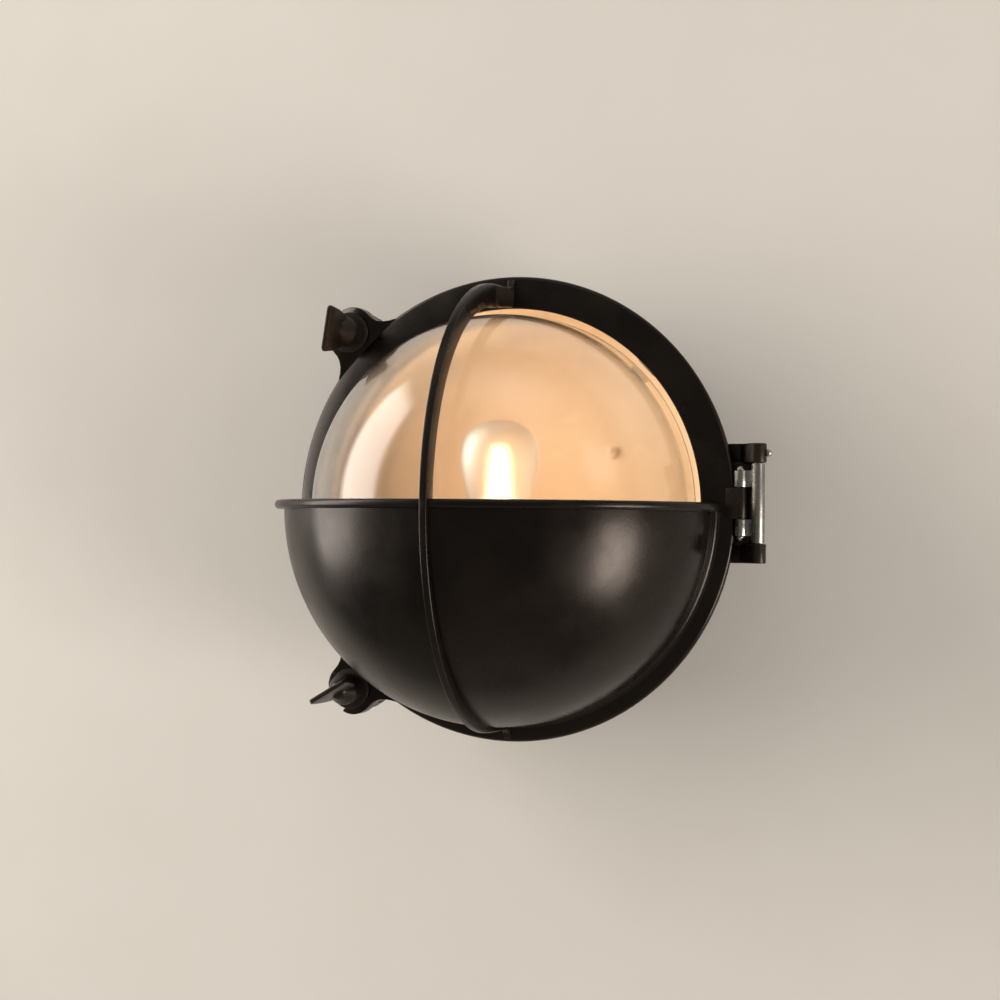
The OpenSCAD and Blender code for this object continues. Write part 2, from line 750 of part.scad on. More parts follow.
module hinge_link() {
    barrel_half = lug_low - side_gap;
    color(steel) difference() {
        union() {
            upright(outer_pin_x, pin_plane, hinge_up - barrel_half, 2 * barrel_half, outer_barrel_r);
            for (low = [-arm_low - arm_h, arm_low]) {
                upright(inner_pin_x, pin_plane, hinge_up + low, arm_h, inner_barrel_r);
                standing(hinge_up + low, arm_h) translate([inner_pin_x, pin_plane - arm_t / 2])
                    square([pin_pitch, arm_t]);
            }
        }
        upright(outer_pin_x, pin_plane, hinge_up - lug_gap, 2 * lug_gap, hinge_pin_r + run_fit);
        upright(inner_pin_x, pin_plane, hinge_up - lug_gap, 2 * lug_gap, hinge_pin_r + pin_fit);
    }
}

module hinge_inner_pin() {
    half = arm_low + arm_h;
    color(steel) {
        upright(inner_pin_x, pin_plane, hinge_up - half, 2 * half, hinge_pin_r);
        for (side = [-1, 1])
            translate([inner_pin_x, -pin_plane, hinge_up + side * half]) mirror([0, 0, side < 0 ? 1 : 0])
                rotate_extrude($fn = 40) polygon([
                    [0, 0], [pin_head_d / 2, 0], [pin_head_d / 2, pin_head_h * 0.35],
                    [pin_head_d * 0.38, pin_head_h * 0.75], [pin_head_d * 0.2, pin_head_h], [0, pin_head_h]
                ]);
    }
}

module ring() {
    from_wall() rotate_extrude($fn = 180) polygon([
        [ring_in, pocket_floor], [ring_in, ring_front - edge_break],
        [ring_in + edge_break, ring_front - ring_rise * edge_break / ring_face_w],
        [ring_r - ring_round, ring_plane + ring_rise * ring_round / ring_face_w],
        [ring_r - ring_round * 0.55, ring_plane], [ring_r - ring_round * 0.15, ring_plane - ring_round * 0.35],
        [ring_r, ring_plane - ring_round], [ring_r - ring_draft, ring_back],
        [pocket_r, ring_back], [pocket_r, pocket_floor]
    ]);
}

// The crescent between two ellipses, from the ring's face to the tip
module cover() {
    low = ring_plane + ring_lap;
    inner_r = cover_r - cover_t;
    inner_reach = cover_reach - cover_t;
    intersection() {
        from_wall() rotate_extrude($fn = 180) polygon(concat(
            quarter(cover_r, cover_reach, cover_centre, 56, turn_at(low, cover_reach, cover_centre)),
            reversed(quarter(inner_r, inner_reach, cover_centre, 56, turn_at(low, inner_reach, cover_centre)))
        ));
        translate([-ring_r, -3 * ring_r, cover_edge_up - 3 * ring_r]) cube([2 * ring_r, 3 * ring_r, 3 * ring_r]);
    }
}

// One layer of the lip, from z to z + h, standing out of the cover
module lip_layer(z, h, out, front) {
    low = ring_plane + ring_lap * 0.8;
    r = cover_r + out;
    reach = cover_reach + front;
    inner_r = cover_r - cover_t;
    inner_reach = cover_reach - cover_t;
    outside = quarter(r, reach, cover_centre, 40, turn_at(low, reach, cover_centre));
    inside = quarter(inner_r, inner_reach, cover_centre, 40, turn_at(low, inner_reach, cover_centre));
    standing(z, h) polygon(concat(
        outside, reversed([for (p = outside) [-p[0], p[1]]]),
        [for (p = inside) [-p[0], p[1]]], reversed(inside)
    ));
}

// Five layers that follow a half round
module lip() {
    edges = [for (i = [0 : 5]) cover_edge_up - lip_h * (1 - cos(180 * i / 5)) / 2];
    for (i = [0 : 4])
        lip_layer(edges[i + 1], edges[i] - edges[i + 1], lip_out * sin(18 + 36 * i), lip_front * sin(18 + 36 * i));
}

// One half of the bar's side outline; the other half is its mirror image
function bar_half() = let (top = ring_plane + bar_foot_h, gap = ring_r - bar_r) concat(
    [[ring_r - ring_round - 0.1, ring_plane], [ring_r - ring_round - 0.1, top],
     [bar_r + gap * 0.35, top + bar_foot_h * 0.5], [bar_r + gap * 0.12, top + bar_foot_h * 1.4],
     [bar_r, top + bar_foot_h * 3]],
    quarter(bar_r, bar_reach, bar_centre, 56)
);
function bar_inner() = quarter(bar_r - bar_depth, bar_reach - bar_depth, bar_centre, 56);

module guard_bar() {
    side_view(bar_w) polygon(concat(
        bar_half(), reversed([for (p = bar_half()) [-p[0], p[1]]]),
        [[-ring_in - edge_break, pocket_floor + edge_break]], [for (p = bar_inner()) [-p[0], p[1]]],
        reversed(bar_inner()), [[ring_in + edge_break, pocket_floor + edge_break]]
    ));
}

module ear(bearing) {
    root = ring_in + 4;
    at_bearing(bearing) intersection() {
        translate([0, 0, ring_back]) linear_extrude(pivot_behind) {
            translate([bolt_s, 0]) circle(r = ear_r, $fn = 96);
            polygon([
                [root, -ear_r - 5], [ring_r - 3, -ear_r - 4], [ring_r + 1, -ear_r - 0.9],
                [ring_r + 4, -ear_r - 0.1], [bolt_s, -ear_r], [bolt_s, ear_r],
                [ring_r + 4, ear_r + 0.1], [ring_r + 1, ear_r + 0.9], [ring_r - 3, ear_r + 4], [root, ear_r + 5]
            ]);
        }
        radial_view(4 * ear_r) ear_side();
    }
}

// Side outline of an ear: its outer half follows an arc about the bolt's pivot
module ear_side() {
    intersection() {
        translate([bolt_s, pivot_plane]) circle(r = pivot_behind, $fn = 180);
        translate([ring_in, ring_back - 1]) square([pivot_behind + ring_face_w + ear_r, pivot_behind]);
    }
    polygon([
        [ring_in + 4, ring_back], [ring_r + 2, ring_back],
        [bolt_s - 6, pivot_plane + pivot_behind * cos(asin(6 / pivot_behind))],
        [ring_r - 4, ring_plane + ear_rise * 0.62], [ring_in + 4, ring_plane + 1]
    ]);
}

module ear_slot(bearing) {
    at_bearing(bearing) translate([bolt_s, 0, ring_back - 5]) {
        cylinder(r = slot_r, h = pivot_behind, $fn = 64);
        translate([0, -slot_r, 0]) cube([3 * ear_r, 2 * slot_r, pivot_behind]);
    }
}

module front_frame() {
    color(iron) difference() {
        union() {
            ring();
            cover();
            lip();
            guard_bar();
            for (bearing = bearings) ear(bearing);
            upright(inner_pin_x, pin_plane, hinge_up - knuckle_h / 2, knuckle_h, inner_barrel_r);
            standing(hinge_up - knuckle_h / 2, knuckle_h) translate([ring_r - 4, pin_plane - ring_side_h + pin_behind])
                square([inner_pin_x - ring_r + 4, inner_barrel_r + ring_side_h - pin_behind]);
        }
        for (bearing = bearings) ear_slot(bearing);
        for (low = [-arm_low - arm_h - side_gap, arm_low - side_gap])
            upright(inner_pin_x, pin_plane, hinge_up + low, arm_h + 2 * side_gap, inner_barrel_r + notch_room);
        upright(inner_pin_x, pin_plane, hinge_up - lug_low, lug_gap, hinge_pin_r + run_fit);
        from_wall() for (i = [0 : clip_count - 1])
            rotate([0, 0, 45 + i * 360 / clip_count]) translate([clip_screw_r, 0, ring_back - 1])
                cylinder(r = clip_screw_d / 2 + pin_fit, h = clip_thread + 1.2, $fn = 32);
    }
}

module glass_dome() {
    inner_r = glass_r - glass_t;
    color([0.92, 0.95, 0.95, 0.3]) from_wall() rotate_extrude($fn = 180) polygon(concat(
        [[inner_r, ring_back], [flange_r, ring_back], [flange_r, flange_front], [glass_r, flange_front]],
        quarter(glass_r, glass_reach, glass_centre, 56),
        reversed(quarter(inner_r, glass_reach - glass_t, glass_centre, 56))
    ));
}

module glass_seal() {
    color(dark_rubber) from_wall() rotate_extrude($fn = 144)
        translate([ring_in + 0.2, flange_front]) square([flange_r - ring_in - 0.2, seal_t]);
}

module glass_clips() {
    color(steel) from_wall() for (i = [0 : clip_count - 1])
        rotate([0, 0, 45 + i * 360 / clip_count]) difference() {
            translate([clip_in, -clip_w / 2, ring_back - clip_t]) cube([clip_out - clip_in, clip_w, clip_t]);
            translate([clip_screw_r, 0, ring_back - clip_t - 1]) cylinder(r = clip_screw_d / 2 + 0.1, h = clip_t + 2, $fn = 32);
        }
}

module clip_screws() {
    color(steel) from_wall() for (i = [0 : clip_count - 1])
        rotate([0, 0, 45 + i * 360 / clip_count]) translate([clip_screw_r, 0, ring_back - clip_t])
            mirror([0, 0, 1]) dome_screw(clip_screw_d / 2, clip_t + clip_thread - 0.4, clip_head_r, clip_head_h);
}

module swing_bolt(bearing) {
    color(iron) at_bearing(bearing) translate([bolt_s, 0, pivot_plane]) difference() {
        union() {
            rotate([90, 0, 0]) cylinder(r = eye_r, h = eye_t, center = true, $fn = 64);
            cylinder(r = bolt_r, h = washer_plane + washer_t - pivot_plane + bolt_end - 0.8, $fn = 48);
            translate([0, 0, washer_plane + washer_t - pivot_plane + bolt_end - 0.8])
                cylinder(r1 = bolt_r, r2 = bolt_r - 0.8, h = 0.8, $fn = 48);
        }
        rotate([90, 0, 0]) cylinder(r = pivot_d / 2 + run_fit, h = 2 * eye_t, center = true, $fn = 48);
    }
}

module swing_bolt_upper() {
    swing_bolt(upper_bearing);
}

module swing_bolt_lower() {
    swing_bolt(lower_bearing);
}

module nut_washer(bearing) {
    color(steel) at_bearing(bearing) translate([bolt_s, 0, washer_plane]) difference() {
        cylinder(r = washer_d / 2, h = washer_t, $fn = 64);
        translate([0, 0, -1]) cylinder(r = bolt_r + 0.2, h = washer_t + 2, $fn = 48);
    }
}

module nut_washer_upper() {
    nut_washer(upper_bearing);
}

module nut_washer_lower() {
    nut_washer(lower_bearing);
}

// A barrel that turns into a flat spade, wider at its end
module wing_nut(bearing, spade) {
    nut_r = nut_d / 2;
    half = spade_w / 2;
    bead = spade_t * 0.18;
    shoulder = nut_h * 0.8;
    waist = nut_h * 1.35;
    color(iron) at_bearing(bearing) translate([bolt_s, 0, nut_seat]) rotate([0, 0, spade - bearing]) difference() {
        union() {
            rotate_extrude($fn = 64) polygon([
                [0, 0], [nut_r - bead, 0], [nut_r, bead], [nut_r, nut_h * 0.83], [nut_r * 0.86, nut_h],
                [nut_r * 0.55, nut_h * 1.5], [0, nut_h * 1.78]
            ]);
            intersection() {
                rotate([90, 0, 0]) linear_extrude(2 * nut_r, center = true) polygon([
                    [-nut_r * 0.86, shoulder], [-nut_r * 1.08, nut_h * 1.12], [-half * 0.8, waist],
                    [-half * 0.9, nut_len * 0.62], [-half, nut_len - 3 * bead], [-half + bead, nut_len - bead],
                    [-half + 3 * bead, nut_len], [half - 3 * bead, nut_len], [half - bead, nut_len - bead],
                    [half, nut_len - 3 * bead], [half * 0.9, nut_len * 0.62], [half * 0.8, waist],
                    [nut_r * 1.08, nut_h * 1.12], [nut_r * 0.86, shoulder]
                ]);
                rotate([90, 0, 90]) linear_extrude(2 * spade_w, center = true) polygon([
                    [-spade_t * 0.7, 0], [spade_t * 0.7, 0], [spade_t * 0.6, waist],
                    [spade_t * 0.42, nut_len - bead], [spade_t * 0.25, nut_len],
                    [-spade_t * 0.25, nut_len], [-spade_t * 0.42, nut_len - bead], [-spade_t * 0.6, waist]
                ]);
            }
        }
        translate([0, 0, -1]) cylinder(r = bolt_r + run_fit, h = bolt_end + 1.8, $fn = 48);
    }
}

module wing_nut_upper() {
    wing_nut(upper_bearing, upper_spade);
}

module wing_nut_lower() {
    wing_nut(lower_bearing, lower_spade);
}

housing();
housing_gasket();
cable_grommet();
terminal_block();
earth_screw();
reflector();
reflector_screws();
lampholder_bracket();
bracket_screws();
lampholder();
holder_nut();
lamp_leads();
bulb_cap();
bulb_filament();
bulb_glass();
hinge_outer_pin();
hinge_locking_screw();
bolt_pivot_pin_upper();
bolt_pivot_pin_lower();
hinge_link();
hinge_inner_pin();
front_frame();
glass_dome();
glass_seal();
glass_clips();
clip_screws();
swing_bolt_upper();
swing_bolt_lower();
nut_washer_upper();
nut_washer_lower();
wing_nut_upper();
wing_nut_lower();
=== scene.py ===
# Outdoor wall light: round bulkhead lamp with a half cover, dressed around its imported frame.
import json
import math

import bmesh
import bpy
from mathutils import Matrix, Vector


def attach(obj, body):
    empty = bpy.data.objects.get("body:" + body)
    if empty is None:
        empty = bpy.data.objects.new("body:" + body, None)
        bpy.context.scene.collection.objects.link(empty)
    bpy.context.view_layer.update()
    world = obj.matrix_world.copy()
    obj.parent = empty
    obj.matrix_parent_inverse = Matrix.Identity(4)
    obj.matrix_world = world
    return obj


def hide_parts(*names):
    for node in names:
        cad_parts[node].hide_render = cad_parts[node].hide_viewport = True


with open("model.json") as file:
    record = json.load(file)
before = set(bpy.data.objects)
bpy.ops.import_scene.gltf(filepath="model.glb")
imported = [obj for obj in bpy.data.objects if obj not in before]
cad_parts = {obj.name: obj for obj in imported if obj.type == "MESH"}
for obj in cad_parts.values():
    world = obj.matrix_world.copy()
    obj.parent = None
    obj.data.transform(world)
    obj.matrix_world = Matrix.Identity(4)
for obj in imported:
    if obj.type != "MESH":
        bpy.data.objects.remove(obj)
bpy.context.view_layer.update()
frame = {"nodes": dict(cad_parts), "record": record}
mm = 0.001

# The photograph's viewing angle
view = {
    "azimuth": 21.03, "elevation": -0.59, "distance": 1.08019,  # where the lens stands, degrees and metres
    "ringPlane": 0.050,  # the ring's front edge stands this far from the wall
    "pan": -0.25, "tilt": 0.21, "roll": 0.54, "lens": 86.4,
}


def makeCamera(v):
    a, e = math.radians(v["azimuth"]), math.radians(v["elevation"])
    place = Vector((math.sin(a) * math.cos(e), -math.cos(a) * math.cos(e), math.sin(e))) * v["distance"]
    ahead = -place.normalized()
    right = ahead.cross(Vector((0, 0, 1))).normalized()
    up = right.cross(ahead)
    pan, tilt, roll = (math.radians(v[k]) for k in ("pan", "tilt", "roll"))
    ahead = (ahead * math.cos(pan) * math.cos(tilt) + right * math.sin(pan) * math.cos(tilt)
             + up * math.sin(tilt)).normalized()
    right = ahead.cross(Vector((0, 0, 1))).normalized()
    up = right.cross(ahead)
    right, up = right * math.cos(roll) + up * math.sin(roll), up * math.cos(roll) - right * math.sin(roll)
    data = bpy.data.cameras.new("photoCamera")
    data.lens = v["lens"]
    data.sensor_width = 36
    data.clip_start = 0.01
    camera = bpy.data.objects.new("photoCamera", data)
    turn = Matrix((right, up, -ahead)).transposed().to_4x4()
    camera.matrix_world = Matrix.Translation(place - Vector((0, v["ringPlane"], 0))) @ turn
    bpy.context.scene.collection.objects.link(camera)
    bpy.context.scene.camera = camera


makeCamera(view)
bpy.context.scene.view_settings.view_transform = "Standard"
print("camera placed")


# Colours are sRGB hex, and texture sizes are in millimetres
def linear(text, alpha=1.0):
    parts = [int(text[i:i + 2], 16) / 255 for i in (1, 3, 5)]
    return tuple(c / 12.92 if c <= 0.04045 else ((c + 0.055) / 1.055) ** 2.4 for c in parts) + (alpha,)


def addNode(tree, kind, settings=None, links=None):
    node = tree.nodes.new(kind)
    for key, value in (settings or {}).items():
        if isinstance(key, int) or key in node.inputs:
            node.inputs[key].default_value = value
        else:
            setattr(node, key, value)
    for key, source in (links or {}).items():
        tree.links.new(source, node.inputs[key])
    return node


def newMaterial(name):
    material = bpy.data.materials.new(name)
    material.use_nodes = True
    material.node_tree.nodes.clear()
    return material, material.node_tree


def finishSurface(tree, shader):
    addNode(tree, "ShaderNodeOutputMaterial", links={"Surface": shader})


def perMm(size):
    return 1000 / size  # texture scale for a feature of this many millimetres


def mottle(tree, coords, sizeMm, detail=4.0, rough=0.55):
    return addNode(tree, "ShaderNodeTexNoise", {"Scale": perMm(sizeMm), "Detail": detail, "Roughness": rough},
                   {"Vector": coords.outputs["Object"]})


def blendColour(tree, factor, low, high, kind="MIX"):
    settings = {"data_type": "RGBA", "blend_type": kind}
    node = addNode(tree, "ShaderNodeMix", settings)
    for socket, value in ((0, factor), (6, low), (7, high)):
        if hasattr(value, "is_linked"):
            tree.links.new(value, node.inputs[socket])
        else:
            node.inputs[socket].default_value = value
    return node.outputs[2]


def spread(tree, source, fromLow, fromHigh, toLow, toHigh):
    return addNode(tree, "ShaderNodeMapRange", {"From Min": fromLow, "From Max": fromHigh, "To Min": toLow,
                                                "To Max": toHigh}, {"Value": source}).outputs["Result"]


def metalPaint(name, v):
    # satin paint over sand-cast iron: a fine orange peel, soft dark patches, rubbed edges and a painted warm tint on
    # its reflections
    material, tree = newMaterial(name)
    coords = addNode(tree, "ShaderNodeTexCoord")
    patches = mottle(tree, coords, v["patchMm"], 5)
    grain = mottle(tree, coords, v["grainMm"], 3)
    speck = mottle(tree, coords, v["grainMm"] * 0.3, 2)
    edge = addNode(tree, "ShaderNodeNewGeometry")
    worn = spread(tree, edge.outputs["Pointiness"], 0.52, 0.60, 0.0, v["wear"])
    base = blendColour(tree, spread(tree, patches.outputs["Fac"], 0.35, 0.65, 0, 1),
                       linear(v["colour"]), linear(v["patch"]))
    colour = blendColour(tree, worn, base, linear(v["rubbed"]))
    sheen = spread(tree, patches.outputs["Fac"], 0.3, 0.7, v["gloss"] - 0.06, v["gloss"] + 0.10)
    height = addNode(tree, "ShaderNodeMath", {"operation": "MULTIPLY_ADD", 1: 0.35},
                     {0: speck.outputs["Fac"], 2: grain.outputs["Fac"]})
    bump = addNode(tree, "ShaderNodeBump", {"Strength": 1.0, "Distance": v["bumpMm"] * mm},
                   {"Height": height.outputs["Value"]})
    # painted reflection colour: the warm specular tint stands in for warm room light in the reflections
    shader = addNode(tree, "ShaderNodeBsdfPrincipled", {"IOR": v["ior"], "Specular Tint": linear("#ffece0")},
                     {"Base Color": colour, "Roughness": sheen, "Normal": bump.outputs["Normal"]})
    finishSurface(tree, shader.outputs["BSDF"])
    return material


def bareMetal(name, v):
    # turned or drawn metal: faint lines, dull patches where hands and weather reach
    material, tree = newMaterial(name)
    coords = addNode(tree, "ShaderNodeTexCoord")
    patches = mottle(tree, coords, v["patchMm"], 5)
    lines = addNode(tree, "ShaderNodeMapping", {"Scale": (1, 1, 14)}, {"Vector": coords.outputs["Object"]})
    drawn = addNode(tree, "ShaderNodeTexNoise", {"Scale": perMm(1.6), "Detail": 3.0},
                    {"Vector": lines.outputs["Vector"]})
    colour = blendColour(tree, spread(tree, patches.outputs["Fac"], 0.42, 0.66, 0, 1),
                         linear(v["colour"]), linear(v["patch"]))
    sheen = spread(tree, patches.outputs["Fac"], 0.3, 0.7, v["gloss"], v["gloss"] + 0.2)
    bump = addNode(tree, "ShaderNodeBump", {"Strength": 1.0, "Distance": v["bumpMm"] * mm},
                   {"Height": drawn.outputs["Fac"]})
    shader = addNode(tree, "ShaderNodeBsdfPrincipled", {"Metallic": 1.0},
                     {"Base Color": colour, "Roughness": sheen, "Normal": bump.outputs["Normal"]})
    finishSurface(tree, shader.outputs["BSDF"])
    return material


def smoothCoat(name, v):
    # enamel, moulded plastic or rubber: one colour with a slow drift and a very fine skin
    material, tree = newMaterial(name)
    coords = addNode(tree, "ShaderNodeTexCoord")
    drift = mottle(tree, coords, v["patchMm"], 4)
    skin = mottle(tree, coords, v["grainMm"], 2)
    colour = blendColour(tree, spread(tree, drift.outputs["Fac"], 0.35, 0.65, 0, 1),
                         linear(v["colour"]), linear(v["patch"]))
    sheen = spread(tree, drift.outputs["Fac"], 0.3, 0.7, v["gloss"], v["gloss"] + 0.1)
    bump = addNode(tree, "ShaderNodeBump", {"Strength": 1.0, "Distance": v["bumpMm"] * mm},
                   {"Height": skin.outputs["Fac"]})
    shader = addNode(tree, "ShaderNodeBsdfPrincipled", {"IOR": v["ior"]},
                     {"Base Color": colour, "Roughness": sheen, "Normal": bump.outputs["Normal"]})
    finishSurface(tree, shader.outputs["BSDF"])
    return material


def pressedGlass(name, v):
    # clear soda-lime glass pressed in a mould: a slow wave in the wall bends the reflections
    material, tree = newMaterial(name)
    coords = addNode(tree, "ShaderNodeTexCoord")
    wave = mottle(tree, coords, v["waveMm"], 2)
    bump = addNode(tree, "ShaderNodeBump", {"Strength": 1.0, "Distance": v["bumpMm"] * mm},
                   {"Height": wave.outputs["Fac"]})
    glass = addNode(tree, "ShaderNodeBsdfPrincipled",
                    {"Base Color": linear(v["colour"]), "Roughness": v["roughness"], "IOR": 1.5,
                     "Transmission Weight": 1.0}, {"Normal": bump.outputs["Normal"]})
    clear = addNode(tree, "ShaderNodeBsdfTransparent", {"Color": linear(v["colour"])})
    rays = addNode(tree, "ShaderNodeLightPath")  # lets the lamp's light out through the wall
    both = addNode(tree, "ShaderNodeMixShader", {}, {0: rays.outputs["Is Shadow Ray"], 1: glass.outputs["BSDF"],
                                                     2: clear.outputs["BSDF"]})
    finishSurface(tree, both.outputs["Shader"])
    return material


def glowing(name, v):
    # the lit lamp: a warm glow whose tint drifts a little in soft patches
    material, tree = newMaterial(name)
    coords = addNode(tree, "ShaderNodeTexCoord")
    cloud = mottle(tree, coords, 18, 2)
    colour = blendColour(tree, spread(tree, cloud.outputs["Fac"], 0.3, 0.7, 0, 1),
                         linear(v["colour"]), linear(v["patch"]))
    shader = addNode(tree, "ShaderNodeBsdfPrincipled",
                     {"Roughness": 0.3, "Emission Strength": v["strength"]},
                     {"Base Color": colour, "Emission Color": colour})
    finishSurface(tree, shader.outputs["BSDF"])
    return material


finishes = {
    "frame_metal": metalPaint("blackPaintOnCastIron", {
        "colour": "#0c0907", "patch": "#120e0a", "rubbed": "#4a4038", "wear": 0.22, "gloss": 0.26, "ior": 1.34,
        "patchMm": 22, "grainMm": 1.1, "bumpMm": 0.03}),
    "housing_metal": metalPaint("blackPaintOnHousing", {
        "colour": "#110e0c", "patch": "#181410", "rubbed": "#3d352e", "wear": 0.3, "gloss": 0.27, "ior": 1.36,
        "patchMm": 26, "grainMm": 1.3, "bumpMm": 0.05}),
    "bolt_metal": metalPaint("blackPaintOnBolts", {
        "colour": "#0f0c09", "patch": "#17130f", "rubbed": "#5a5047", "wear": 0.35, "gloss": 0.32, "ior": 1.35,
        "patchMm": 9, "grainMm": 0.9, "bumpMm": 0.03}),
    "hinge_metal": bareMetal("darkWornSteel", {
        "colour": "#a09c95", "patch": "#85807a", "gloss": 0.22, "patchMm": 4, "bumpMm": 0.012}),
    "steel": bareMetal("zincPlatedSteel", {
        "colour": "#b9b7b1", "patch": "#8b8780", "gloss": 0.24, "patchMm": 5, "bumpMm": 0.01}),
    "white_enamel": smoothCoat("creamVitreousEnamel", {
        "colour": "#f4dcbd", "patch": "#f0d4b0", "gloss": 0.22, "ior": 1.5, "patchMm": 40, "grainMm": 2.5,
        "bumpMm": 0.02}),
    "clear_glass": pressedGlass("clearPressedGlass", {
        "colour": "#fbfcfa", "roughness": 0.09, "waveMm": 38, "bumpMm": 0.03}),
    "lamp_glass": pressedGlass("pearlLampGlass", {
        "colour": "#fffaf2", "roughness": 0.42, "waveMm": 9, "bumpMm": 0.02}),
    "glow": glowing("hotFilament", {"colour": "#ffd2a8", "patch": "#ffd8b2", "strength": 6.0}),
    "brass": bareMetal("turnedBrass", {
        "colour": "#c9a861", "patch": "#9a7c42", "gloss": 0.25, "patchMm": 5, "bumpMm": 0.01}),
    "rubber": smoothCoat("blackRubber", {
        "colour": "#171615", "patch": "#1f1d1c", "gloss": 0.6, "ior": 1.5, "patchMm": 8, "grainMm": 0.6,
        "bumpMm": 0.03}),
    "lead_cover": smoothCoat("greyLeadCover", {
        "colour": "#5a554f", "patch": "#4f4a45", "gloss": 0.45, "ior": 1.5, "patchMm": 6, "grainMm": 0.8,
        "bumpMm": 0.01}),
    "white_plastic": smoothCoat("whiteMouldedPlastic", {
        "colour": "#efece4", "patch": "#e6e1d6", "gloss": 0.3, "ior": 1.46, "patchMm": 12, "grainMm": 0.7,
        "bumpMm": 0.01}),
}
print("materials made")


# Each piece rides on its node's body and takes its node's finish
nodeSlots = {row["node"]: row["material_slot"] for row in frame["record"]["subparts"]}
nodeBodies = {node: body for body, nodes in frame["record"]["behaviour"]["bodies"].items() for node in nodes}


def addPiece(name, bm, node, finish=None, sharpAt=35):
    mesh = bpy.data.meshes.new(name)
    bm.to_mesh(mesh)
    bm.free()
    mesh.shade_smooth()
    mesh.set_sharp_from_angle(angle=math.radians(sharpAt))
    piece = bpy.data.objects.new(name, mesh)
    bpy.context.scene.collection.objects.link(piece)
    mesh.materials.append(finishes[finish or nodeSlots[node]])
    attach(piece, nodeBodies[node])
    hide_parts(node)
    return piece


def tidyShape(bm):
    bmesh.ops.remove_doubles(bm, verts=bm.verts, dist=2e-6)
    bmesh.ops.recalc_face_normals(bm, faces=bm.faces)
    return bm


def softened(bm, roundMm, segments=2, above=38):
    # rounds every edge sharper than this angle
    edges = [e for e in bm.edges if len(e.link_faces) == 2 and e.calc_face_angle() > math.radians(above)]
    bmesh.ops.bevel(bm, geom=edges, offset=roundMm * mm, segments=segments, affect="EDGES", profile=0.5,
                    material=-1, clamp_overlap=True)
    return bm


def moved(bm, matrix):
    bmesh.ops.transform(bm, matrix=matrix, verts=bm.verts)
    return bm


def combined(shapes):
    whole = bmesh.new()
    for bm in shapes:
        mesh = bpy.data.meshes.new("part")
        bm.to_mesh(mesh)
        bm.free()
        whole.from_mesh(mesh)
        bpy.data.meshes.remove(mesh)
    return whole


def carved(bm, tool, kind="DIFFERENCE"):
    # cuts, joins or keeps what two shapes share
    objects = []
    for name, shape in (("carvedBase", bm), ("carvedTool", tool)):
        mesh = bpy.data.meshes.new(name)
        shape.to_mesh(mesh)
        shape.free()
        objects.append(bpy.data.objects.new(name, mesh))
        bpy.context.scene.collection.objects.link(objects[-1])
    cut = objects[0].modifiers.new("cut", "BOOLEAN")
    cut.object, cut.operation, cut.solver = objects[1], kind, "EXACT"
    graph = bpy.context.evaluated_depsgraph_get()
    mesh = bpy.data.meshes.new_from_object(objects[0].evaluated_get(graph))
    result = bmesh.new()
    result.from_mesh(mesh)
    for thing in objects:
        data = thing.data
        bpy.data.objects.remove(thing)
        bpy.data.meshes.remove(data)
    bpy.data.meshes.remove(mesh)
    return result


def arc(centre, size, fromDeg, toDeg, steps):
    # points of an elliptic arc in a profile, in millimetres
    turns = [math.radians(fromDeg + (toDeg - fromDeg) * i / steps) for i in range(steps + 1)]
    return [(centre[0] + size[0] * math.cos(t), centre[1] + size[1] * math.sin(t)) for t in turns]


def spun(points, steps=128, upright=None):
    # a closed profile of radius and distance from the wall, or of radius and height for an upright piece
    bm = bmesh.new()
    if upright is None:
        base, axis = Vector((0, 0, 0)), Vector((0, -1, 0))
    else:
        base, axis = Vector((upright[0], -upright[1], 0)) * mm, Vector((0, 0, 1))
    verts = [bm.verts.new(base + Vector((r, 0, 0)) * mm + axis * h * mm) for r, h in points]
    edges = [bm.edges.new((verts[i - 1], verts[i])) for i in range(len(verts))]
    bmesh.ops.spin(bm, geom=verts + edges, cent=base, axis=axis, dvec=(0, 0, 0), angle=math.tau, steps=steps,
                   use_merge=True, use_duplicate=False)
    loose = [f for f in bm.faces if f.calc_area() < 1e-13]
    bmesh.ops.delete(bm, geom=loose, context="FACES_ONLY")
    stray = [e for e in bm.edges if not e.link_faces]
    bmesh.ops.delete(bm, geom=stray, context="EDGES")
    return tidyShape(bm)


def slab(points, thick, plane="plan"):
    # a flat outline given a thickness, centred on it; plan is x and distance from the wall, side is height and distance
    bm = bmesh.new()
    place = {"plan": lambda a, b: (a, -b, 0), "side": lambda a, b: (0, -b, a), "local": lambda a, b: (a, b, 0)}[plane]
    along = {"plan": (0, 0, 1), "side": (1, 0, 0), "local": (0, 0, 1)}[plane]
    face = bm.faces.new([bm.verts.new(Vector(place(a, b)) * mm) for a, b in points])
    grown = bmesh.ops.extrude_face_region(bm, geom=[face])
    risen = [v for v in grown["geom"] if isinstance(v, bmesh.types.BMVert)]
    bmesh.ops.translate(bm, vec=Vector(along) * thick * mm, verts=risen)
    bmesh.ops.translate(bm, vec=Vector(along) * -thick / 2 * mm, verts=bm.verts)
    return tidyShape(bm)


def rod(radius, length, base, along, sides=48, farRadius=None):
    # a round bar from base, in millimetres
    bm = bmesh.new()
    bmesh.ops.create_cone(bm, cap_ends=True, segments=sides, radius1=radius * mm,
                          radius2=(radius if farRadius is None else farRadius) * mm, depth=length * mm)
    bmesh.ops.translate(bm, vec=(0, 0, length / 2 * mm), verts=bm.verts)
    turn = Vector(along).to_track_quat("Z", "X").to_matrix().to_4x4()
    return moved(bm, Matrix.Translation(Vector(base) * mm) @ turn)


